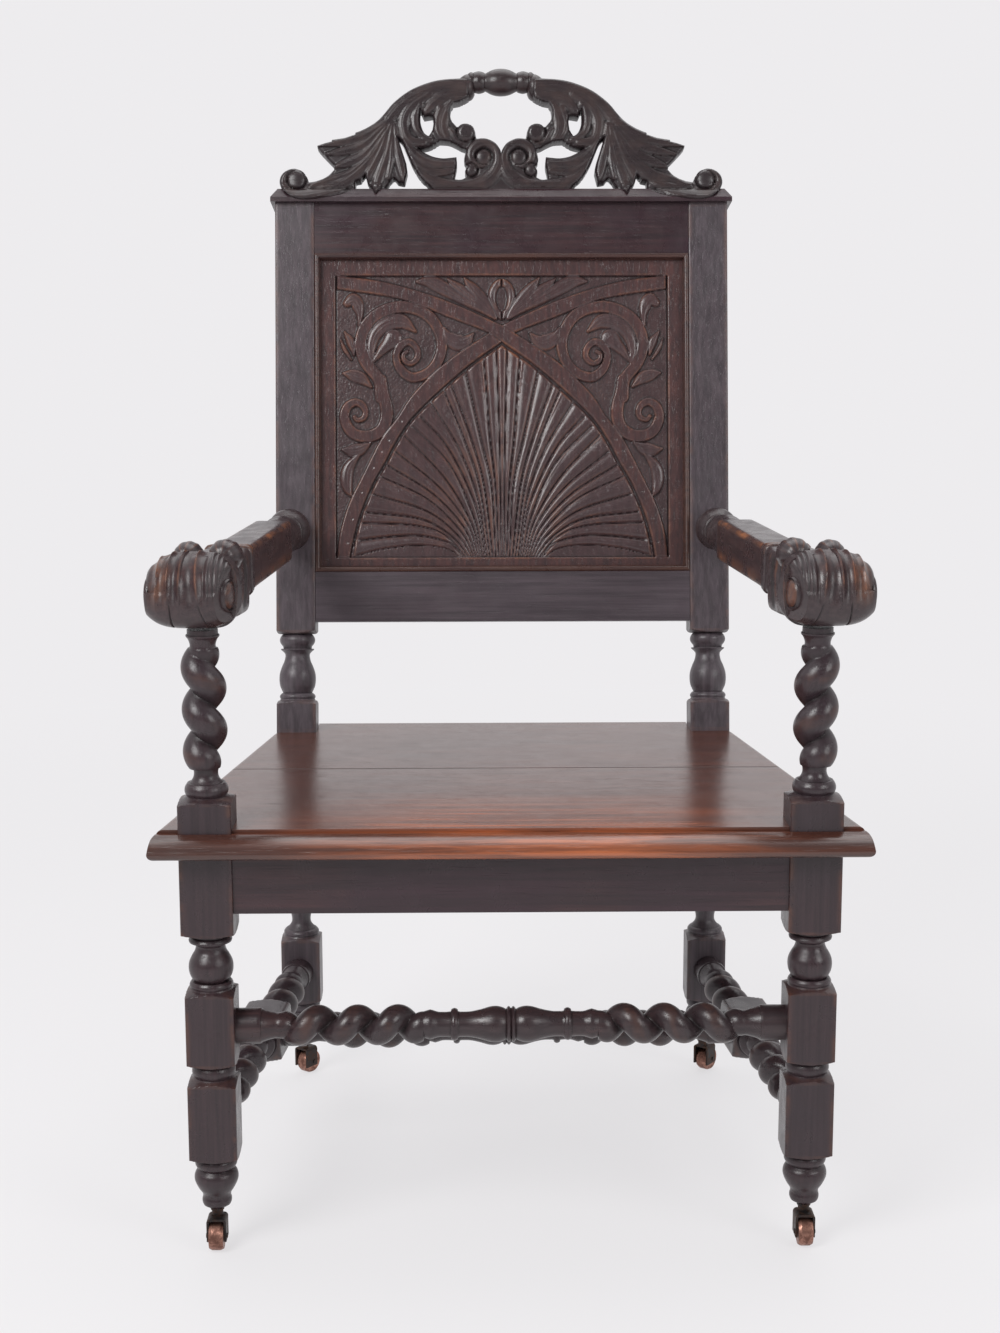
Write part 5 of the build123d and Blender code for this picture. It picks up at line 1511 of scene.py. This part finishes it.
    @staticmethod
    def ring(steps: tuple) -> Array:
        """Closed outline; each step is a point to go straight to, or a smooth run.

        Args:
            steps: Where it starts and ends, then the steps, each from the last.

        Returns:
            Its points.
        """
        at, parts = steps[0], []
        for step in steps[1:]:
            run = (at, *(step if isinstance(step[0], tuple) else (step,)))
            parts.append(flowing(run, 2)[:-1])
            at = run[-1]
        return np.vstack(parts)

    @staticmethod
    def nearest(x: Array, h: Array, rings: list[Array]) -> tuple[Array, ...]:
        """Nearest point of the outlines to each point.

        Args:
            x: Across, for every point of the board.
            h: Up from the cap's top, for every point.
            rings: The outlines.

        Returns:
            Distance, and the nearest point's x and h.
        """
        found = [to_line(x, h, np.vstack([ring, ring[:1]])) for ring in rings]
        away, near_x, near_h = (np.stack([each[k] for each in found]) for k in (0, 2, 3))
        least = away.argmin(0)[None]
        return tuple(np.take_along_axis(values, least, 0)[0]
                     for values in (away, near_x, near_h))

    def half(self) -> Skin:
        """Left half of the board.

        Returns:
            Its skin, open towards the other half.
        """
        rings = [self.ring(steps) for steps in (self.outline, *self.holes)]
        x, h = np.meshgrid(np.arange(-280, 0.1, self.pitch),
                           np.arange(-16.8, 142, self.pitch))
        solid = inside(x, h, rings[0])
        away, near_x, near_h = self.nearest(x, h, rings)
        for hole in rings[1:]:
            solid &= ~inside(x, h, hole)
        # points near an outline move onto it
        snap = away < self.pitch * 0.62
        x, h = np.where(snap, near_x, x), np.where(snap, near_h, h)
        keep = solid | snap
        rim = np.where(snap | ~solid, 0.0, away)
        rim = np.where((x > -6) & (h < 44), np.maximum(rim, self.edge), rim)
        depth, wear, soot = self.surface(x, h, rim)
        quads = sheet(*x.shape)
        core = solid & ~snap
        quads = quads[keep.reshape(-1)[quads].all(1) & core.reshape(-1)[quads].any(1)]
        used, quads = np.unique(quads, return_inverse=True)
        quads = quads.reshape(-1, 4)
        x, h, depth, wear, soot, rim_in = (a.reshape(-1)[used]
                                           for a in (x, h, depth, wear, soot, rim))
        back = self.back - 2.0 * (1 - np.clip(rim_in / 2.5, 0, 1))
        behind = -23.4 + self.bevel * np.maximum(h, -12)
        back = np.where((h < -0.1) & (x < self.cap_end), behind, back)
        front = np.stack([x, depth, h], 1)
        rear = np.stack([x, back, h], 1)
        # front, back, and walls along every edge that has one quad only
        n = len(used)
        edges = {edge: None for quad in quads.tolist()
                 for edge in zip(quad, quad[1:] + quad[:1])}
        sides = [[b, a, a + n, b + n] for a, b in edges if (b, a) not in edges]
        faces = [*quads.tolist(), *(quads[:, ::-1] + n).tolist(), *sides]
        local = np.vstack([front, rear]) + np.array([0, 0, self.base])
        skin = Skin()
        skin.add(BACK.world(local), faces,
                 wear=np.concatenate([wear, np.zeros(n)]),
                 soot=np.concatenate([soot, np.full(n, 0.15)]))
        return skin

    def bobbin(self, skin: Skin) -> None:
        """Turned grip at the top, alike on both sides.

        Args:
            skin: Skin to add it to.
        """
        made = Lathe(0.0, 16.9)
        made.flow((6, 16.4), (12, 14.8), (18, 11.8), (20, 11.0)).step(11.4)
        made.flow((1, 12.2), (4, 13.2), (8, 13.8), (13, 12.6), (15, 11.6)).step(12.4)
        made.flow((1, 12.6), (3, 12.6), (6, 10.5), (9, 8.0), (12, 6.0))
        knob = Lathe(33.0, 9.0)
        knob.flow((2, 13.0), (5, 15.6), (9, 16.6), (13, 15.4), (18, 12.0), (25, 5.0))
        centre = BACK.world(np.array([[0, -11.0, self.base + 136.7]]))[0]
        origin = tuple(centre / MM + np.array([0, ORIGIN_Y, 0]))
        low = (origin[0], origin[1], origin[2] - 6.5)
        for sign in (1, -1):
            for turned, at in ((made, origin), (knob, low)):
                turned.skin(Place(at, (0, 0, -1), (0, sign, 0), (sign, 0, 0)), skin, 0.35)

    def build(self) -> None:
        """Make the cresting."""
        skin = self.half().doubled()
        self.bobbin(skin)
        skin.piece("cresting_carved", OAK_CREST, "oak", ["cresting"], 50)


# ------------------------------------------------------------------------ arms
@dataclass
class Arm:
    """An arm: scrolled hand grip, square bar and turned end at the stile."""

    axis_z: float = 697.0      # of the arm over the front post
    at_stile: float = 254.0    # up the rake from the seat to its rear end
    length: float = 503.3
    rise: float = 12.0
    half_width: float = 22.5
    half_height: float = 24.0
    bar_start: float = 138.0
    bar_end: float = 378.0
    grip: float = 38.5         # radius of the grip, and half its width
    grip_half: float = 43.6
    underside: float = -41.0
    grip_out: float = 8.0      # the grip's middle outside the post's axis
    ribs: tuple = (-46.0, -27.0, -10.5, 7.0, 19.0, 31.0, 47.0)   # across the grip
    slant: float = 0.24        # turn of the inner scroll eye to the front
    eye_at: tuple[float, float, float] = (-9.0, 38.6, -5.0)

    def place(self) -> Place:
        """The left arm's own frame: X along it to the back, Y outwards, Z up.

        Returns:
            The frame, with its origin over the front post.
        """
        back = (REAR_AXIS_Y - REAR_HALF * math.cos(RAKE)
                + self.at_stile * math.sin(RAKE)) - FRONT_Y
        heading = math.atan2(back, INSET)
        pitch = math.atan2(self.rise, math.hypot(INSET, back))
        c, s, cp, sp = (math.cos(heading), math.sin(heading), math.cos(pitch),
                        math.sin(pitch))
        return Place((-FRONT_X, FRONT_Y, self.axis_z), (c * cp, s * cp, sp), (-s, c, 0),
                     (-c * sp, -s * sp, cp))

    @staticmethod
    def section(half_w: Array, half_h: Array, power: Array, count: int = 56) -> tuple:
        """Rounded rectangles: offsets across and up for every station.

        Args:
            half_w: Half widths.
            half_h: Half heights.
            power: Squareness: 2 for an ellipse, more for a square.
            count: Points round the section.

        Returns:
            The two offsets.
        """
        t = (np.arange(count) + 0.5) / count * 2 * math.pi
        c, s = np.cos(t)[None], np.sin(t)[None]
        p = np.asarray(power)[:, None]
        scale = (np.abs(c) ** p + np.abs(s) ** p) ** (-1 / p)
        return half_w[:, None] * c * scale, half_h[:, None] * s * scale

    def bar(self, skin: Skin, place: Place) -> None:
        """Square bar with rubbed upper edges and a rounded rear shoulder.

        Args:
            skin: Skin to add it to.
            place: The arm's frame.
        """
        along = np.concatenate([np.linspace(self.bar_start - 8, self.bar_end - 14, 90),
                                np.linspace(self.bar_end - 12, self.bar_end, 10)])
        tail = np.sqrt(np.clip(1 - np.clip((along - self.bar_end + 13) / 15, 0, 1) ** 2,
                               0.05, 1))
        tail = 0.82 + 0.18 * tail
        swell = 1 + 0.05 * bell(along - self.bar_start, 26)
        y, z = self.section(self.half_width * tail * swell, self.half_height * tail,
                            np.full(len(along), 11.0))
        corner = (np.abs(y) > self.half_width * 0.86) & (z > self.half_height * 0.74)
        uneven = 0.6 + 0.4 * np.sin(along / 17.0)[:, None]
        worn = corner * np.where(y < 0, 0.95, 0.35) * uneven
        pull = np.where(corner, 0.985, 1.0)
        local = np.stack([along[:, None] + 0 * y, y * pull, z * pull], -1)
        inner = 0.9 * smooth(-y, self.half_width * 0.8, self.half_width * 0.95)
        low = inner * smooth(-z, 6, 20) * 0.5
        skin.grid(place.world(local), around=True, caps=True,
                  wear=np.maximum(worn, low), warm=inner)

    def neck(self, skin: Skin, place: Place) -> None:
        """Body between the knuckle and the bar, with the moulded band at its end.

        Args:
            skin: Skin to add it to.
            place: The arm's frame.
        """
        s = np.linspace(-4, self.bar_start, 90)
        top = 33.5 - 8.5 * smooth(s, 20, 96)
        low = -39.5 + 13.5 * smooth(s, 92, 112)
        half_w = 40.0 - 11.5 * smooth(s, 4, 56) - 4.0 * smooth(s, 92, 116)
        y, z = self.section(half_w, (top - low) / 2, 4.2 + 4 * smooth(s, 20, 110), 96)
        z = z + ((top + low) / 2)[:, None]
        leaf = np.cos(s[:, None] / 5.2 + np.abs(z) / 16.0)
        cut = (smooth(np.abs(y), 0.9 * half_w[:, None], half_w[:, None])
               * smooth(-s, -100, -84)[:, None])
        out = self.grip_out * smooth(-s, -70, -10)[:, None]
        y = y * (1 + 0.030 * cut * leaf) + 0.6 * out
        local = np.stack([s[:, None] + 0 * y, y, z], -1)
        # painted shade with dark wax in the hollows of the cut leaves
        skin.grid(place.world(local), around=True, caps=True,
                  soot=0.7 * cut * (leaf < -0.4), wear=0.25 * cut * (leaf > 0.75))
        band = self.bar_start + np.array([-14, -13, -11, -6, -5, -4.2, -1, 3, 6, 7.2])
        grow = np.array([0.4, 2.4, 3.4, 3.4, 2.4, 0.9, 1.7, 2.6, 1.7, 0.2])
        y, z = self.section(self.half_width + grow, self.half_height + grow,
                            np.full(len(band), 8.0))
        edge = (z > self.half_height * 0.8) * 0.5
        # painted shade with dark wax on the band's sunk rings
        skin.grid(place.world(np.stack([band[:, None] + 0 * y, y, z], -1)), around=True,
                  caps=True, wear=edge, soot=0.5 * (grow < 1.0)[:, None] + 0 * y)

    def knuckle(self, skin: Skin, place: Place) -> None:
        """Rounded end of the grip, with finger ribs over its front.

        Args:
            skin: Skin to add it to.
            place: The arm's frame.
        """
        share = np.concatenate([np.linspace(-1, -0.88, 9), np.linspace(-0.87, 0.87, 175),
                                np.linspace(0.88, 1, 9)])
        across = share * self.grip_half
        phi = circle(128)
        c, n = np.cos(phi)[None], np.sin(phi)[None]
        power = 2.0 + 1.1 * ((c < 0) & (n < 0))
        round_ = (np.abs(c) ** power + np.abs(n) ** power) ** (-1 / power)
        taper = 1 - (0.40 + 0.10 * np.sign(n)) * np.abs(share)[:, None] ** 3.4
        z = self.grip * n * round_ * taper
        x = self.grip * c * round_ * taper
        # ribs drift outwards as they rise on the inner side
        drift = across[:, None] - 0.10 * (z - 10) * (across[:, None] < 5)
        edges = np.array(self.ribs)
        gap = np.clip(np.searchsorted(edges, drift), 1, len(edges) - 1)
        phase = (drift - edges[gap - 1]) / (edges[gap] - edges[gap - 1])
        off = 0.5 - np.abs(phase - 0.5)                   # 0 on a rib, 0.5 between
        middle = (smooth(share, -0.50, -0.36) * smooth(-share, -0.97, -0.80))[:, None]
        front = smooth(-c, -0.45, 0.0) * smooth(z, -22, 6) * middle
        flute = 1 - (1 - 2 * np.clip(off, 0, 0.5)) ** 2
        cut = 4.8 * flute * front
        # curled lines at the inner end, and two fine lines underneath
        curl = -share[:, None]
        rings = smooth(curl, 0.42, 0.54) * smooth(-curl, -0.97, -0.90) * smooth(z, -12, 2)
        swirl = 0.5 - 0.5 * np.cos((curl * self.grip_half + 0.05 * x) * 2 * math.pi / 4.6)
        cut = cut + 1.5 * swirl * rings
        low = smooth(-z, 8, 14) * smooth(-c, -0.2, 0.3)
        lines = bell(drift - 17 - 0.05 * z, 0.8) + bell(drift + 8 - 0.2 * z, 0.8)
        cut = cut + 1.1 * lines * low
        scale = 1 - cut / self.grip
        x, z = x * scale, np.maximum(z * scale, self.underside)
        # rubbed on the ribs; painted shade with dark wax between them, in the curls and
        # in the fine lines
        worn = 0.34 * front * smooth(-off, -0.10, -0.02) * smooth(z, -10, 12)
        worn = worn + 0.30 * front * smooth(share[:, None], 0.30, 0.55)
        deep = 0.40 * front * smooth(flute, 0.80, 1.0) + 0.8 * lines * low
        deep = deep + 0.6 * rings * smooth(swirl, 0.5, 0.9)
        # the inner end stops just past its scroll eye
        limit = self.eye_at[1] + 3.0 + self.slant * np.minimum(x, 0) + 0.12 * x
        y = self.grip_out + np.maximum(across[:, None] + 0 * x, -limit)
        warm = front * smooth(z, -4, 14)
        skin.grid(place.world(np.stack([x, y, z], -1)[:, ::-1]), around=True, caps=True,
                  wear=worn[:, ::-1], soot=np.clip(deep, 0, 1)[:, ::-1],
                  warm=warm[:, ::-1])

    def eyes(self, skin: Skin, place: Place) -> None:
        """Scroll eyes of the grip: a ring, a groove and a button on each side.

        Args:
            skin: Skin to add it to.
            place: The arm's frame.
        """
        turn = circle(48)
        levels = np.array([(20.5, -3.0), (19.9, 1.2), (19.0, 2.0), (18.0, 1.5),
                           (17.2, -0.5), (16.2, -0.7), (15.3, 1.2), (12.0, 2.6),
                           (6.0, 3.5), (0.3, 3.7)])
        for sign, reach, lean in ((-1, self.eye_at[1], math.atan(self.slant)),
                                  (1, self.grip_half - 0.6, 0.0)):
            flat, out = 0.80 * levels[:, :1] * np.cos(turn), levels[:, 1:] * 0.8
            x = self.eye_at[0] + flat * math.cos(lean) - out * math.sin(lean)
            z = 0.86 * levels[:, :1] * np.sin(turn) + self.eye_at[2]
            y = self.grip_out + sign * (reach + flat * math.sin(lean)
                                        + out * math.cos(lean))
            # painted shade with dark wax in the groove round each eye
            dark = 0.9 * ((levels[:, :1] > 16) & (levels[:, :1] < 18)) + 0 * x
            warm = 0.8 * (levels[:, :1] < 16) + 0 * x
            local = np.stack([x, y, z], -1)
            skin.grid(place.world(local if sign < 0 else local[:, ::-1]), around=True,
                      soot=dark, warm=warm, wear=0.35 * warm)

    @staticmethod
    def ears(skin: Skin, place: Place) -> None:
        """Two ribbed buns on top, behind the knuckle.

        Args:
            skin: Skin to add it to.
            place: The arm's frame.
        """
        turn = circle(84)
        t = np.linspace(-1, 1, 31)[:, None]
        radius = 15.2 * dome(t * 0.985) ** 0.75
        for centre, size in ((-17.5, 1.12), (20.5, 0.95)):
            rib = np.cos(11 * turn + 0.6)[None]
            y = centre + size * radius * np.cos(turn)[None] * (1 + 0.018 * rib)
            z = 28.0 + size * radius * np.sin(turn)[None] * (1 + 0.018 * rib)
            x = 38 + 22 * t + 0 * turn[None] - 3 * (1 - t ** 2) * np.sin(turn)[None]
            # painted shade with dark wax between the ribs
            soot = 0.4 * smooth(-rib, 0.5, 0.9) * (radius > 3)
            wear = 0.30 * smooth(rib, 0.6, 0.95) * smooth(z, 30, 42)
            skin.grid(place.world(np.stack([x, y, z], -1)), around=True, caps=True,
                      soot=soot, wear=wear)

    def tail(self, skin: Skin, place: Place) -> None:
        """Turned end between the bar and the stile.

        Args:
            skin: Skin to add it to.
            place: The arm's frame.
        """
        made = Lathe(self.bar_end - 2, 18.6)
        made.bead(9, 3.2).step(16.4).swell(22.4, 26, 1.8).swell(15.2, 32, 4.2)
        made.run(15.2, 8).step(19.4).bead(5, 1.6).step(17.4)
        made.flow((6, 22.0), (13, 25.4), (21, 25.6), (29, 22.0), (34, 18.6))
        made.run(19.0, self.length - 1.5 - made.height)
        made.skin(Place(place.origin, place.y, place.z, place.x), skin)

    def build(self) -> None:
        """Make both arms."""
        place = self.place()
        left = Skin()
        for carve in (self.bar, self.neck, self.knuckle, self.eyes, self.ears, self.tail):
            carve(left, place)
        left.pair("arm", "carved", OAK_ARM, 45)


# ------------------------------------------------------------- boards, castors
@dataclass
class Boards:
    """Rails, seat boards, cap and mouldings that keep their solids."""

    finishes: dict[str, Finish] = field(default_factory=lambda: {
        "seat_rail_front": OAK_RAIL, "seat_rail_rear": OAK_RAIL,
        "seat_rail_left": OAK_SIDE, "seat_rail_right": OAK_SIDE,
        "seat_board_front": OAK_SEAT, "seat_board_rear": OAK_SEAT,
        "back_rail_top": OAK_RAIL, "back_rail_bottom": OAK_BOTTOM,
        "crest_cap": OAK_RAIL, "panel_bead_top": OAK_BEAD,
        "panel_bead_bottom": OAK_BEAD, "panel_bead_left": OAK_BEAD,
        "panel_bead_right": OAK_BEAD})

    def build(self, nodes: dict[str, bpy.types.Object]) -> None:
        """Dress the boards' own solids.

        Args:
            nodes: The loaded CAD nodes by name.
        """
        for name, finish in self.finishes.items():
            dress(nodes[name], finish.material())
            LOG.info("%s dressed as %s", name, finish.name)


def dress(node: bpy.types.Object, material: bpy.types.Material) -> None:
    """Give every slot of a CAD node one material."""
    for slot in node.material_slots:
        slot.material = material


@dataclass
class Castors:
    """Four iron castors with copper-brown wheels."""

    metals: dict[str, Metal] = field(default_factory=lambda: {
        "socket": IRON, "fork": IRON, "axle": IRON, "wheel": BRASS})

    def build(self, nodes: dict[str, bpy.types.Object]) -> None:
        """Dress the castors' solids.

        Args:
            nodes: The loaded CAD nodes by name.
        """
        for corner in ("front_left", "front_right", "rear_left", "rear_right"):
            for part, metal in self.metals.items():
                dress(nodes[f"castor_{part}_{corner}"], metal.material())
            LOG.info("castor_%s dressed", corner)


# ---------------------------------------------------------------------- studio
@dataclass
class Studio:
    """Pale floor, plain soft light and the camera."""

    camera_mm: tuple[float, float, float] = (-39.26, -1966.97, 954.65)
    lens: float = 54.355
    tilt: float = 0.167683     # down, aside and over, in radians
    heading: float = 0.01421
    roll: float = -0.001478
    pale: tuple = rgb(0.850, 0.838, 0.855)
    floor_colour: tuple = rgb(0.82, 0.81, 0.81)

    def camera(self) -> None:
        """Place the camera."""
        data = bpy.data.cameras.new("camera")
        data.lens = self.lens
        data.sensor_width = 36.0
        made = into_scene("camera", data)
        turn = (Matrix.Rotation(-self.heading, 4, "Z")
                @ Matrix.Rotation(math.pi / 2 - self.tilt, 4, "X")
                @ Matrix.Rotation(self.roll, 4, "Z"))
        x, y, z = self.camera_mm
        at = Vector((x, y - ORIGIN_Y, z)) * MM
        made.matrix_world = Matrix.Translation(at) @ turn
        bpy.context.scene.camera = made

    def floor(self) -> None:
        """Round floor that fades into the background far from the chair."""
        rings = np.array([0.0, 0.4, 0.8, 1.4, 2.4, 4.0, 7.0, 12.0, 24.0])[:, None]
        turn = circle(64)
        points = np.stack([rings * np.cos(turn), rings * np.sin(turn),
                           0 * rings * turn], -1)
        mesh = bpy.data.meshes.new("floor")
        mesh.from_pydata(points.reshape(-1, 3).tolist(), [],
                         sheet(len(rings), len(turn), around=True).tolist())
        pale_matt = bpy.data.materials.new("studio_floor")
        n = NodeTree(pale_matt)
        n.wire("Base Color", self.floor_colour)
        n.wire("Roughness", 0.9)
        n.wire("Specular IOR Level", 0.1)
        far = n.add("ShaderNodeVectorMath", {0: n.coords}, operation="LENGTH").outputs[1]
        fade = n.ramp(far, 0.5, 3.0, 0.76, 1.0)
        path = n.add("ShaderNodeLightPath").outputs
        seen = n.maths("MAXIMUM", path["Is Camera Ray"], n.maths(
            "MAXIMUM", path["Is Glossy Ray"], path["Is Transmission Ray"]))
        glow = n.add("ShaderNodeEmission", {0: self.pale, 1: 1.0}).outputs[0]
        n.show(n.maths("MULTIPLY", fade, seen), n.shader.outputs[0], glow,
               "Material Output")
        mesh.materials.append(pale_matt)
        made = into_scene("floor", mesh)

    @staticmethod
    def lamp(name: str, at: tuple, towards: tuple, size: float, watts: float) -> None:
        """One soft square lamp.

        Args:
            name: Its name.
            at: Where it hangs, in metres.
            towards: What it points at.
            size: Side of its square.
            watts: Its power.
        """
        data = bpy.data.lights.new(name, "AREA")
        data.size, data.energy = size, watts
        made = into_scene(name, data)
        made.location = at
        aim = Vector(towards) - Vector(at)
        made.rotation_euler = aim.to_track_quat("-Z", "Y").to_euler()

    def sky(self) -> None:
        """Pale surroundings."""
        world = bpy.data.worlds.new("surroundings")
        n = NodeTree(world, "Background", "Generated")
        n.wire("Color", self.pale)
        n.wire("Strength", 1.0)
        ahead = n.axis(1)
        room, behind = [n.ramp(ahead, -0.35, 0.25, first) for first in (0.30, 0.0)]
        lit = n.add("ShaderNodeBackground", {0: rgb(0.82, 0.82, 0.84), 1: room})
        path = n.add("ShaderNodeLightPath").outputs
        shown = path["Is Camera Ray"]
        for ray in ("Is Glossy Ray", "Is Transmission Ray"):
            shown = n.add("ShaderNodeMath", {0: path[ray], 1: behind, 2: shown},
                          operation="MULTIPLY_ADD", use_clamp=True).outputs[0]
        n.show(shown, lit.outputs[0], n.shader.outputs[0], "World Output")
        bpy.context.scene.world = world

    def build(self) -> None:
        """Set the stage."""
        self.camera()
        self.floor()
        self.sky()
        self.lamp("key", (-1.9, -2.2, 2.6), (0, 0, 0.6), 1.6, 88)
        self.lamp("fill", (2.4, -2.2, 1.9), (0, 0, 0.6), 1.5, 34)
        self.lamp("top", (0.2, 0.9, 3.2), (0, 0.1, 0.4), 2.4, 30)
        bpy.context.scene.view_settings.view_transform = "Standard"


def main() -> None:
    """Build and dress the whole chair."""
    logging.basicConfig(level=logging.INFO, format="%(name)s %(message)s")
    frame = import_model()
    Studio().build()
    Boards().build(frame["nodes"])
    Castors().build(frame["nodes"])
    Legs().build()
    Stretchers().build()
    Arm().build()
    Panel().build()
    Cresting().build()


if __name__ == "__main__":
    main()
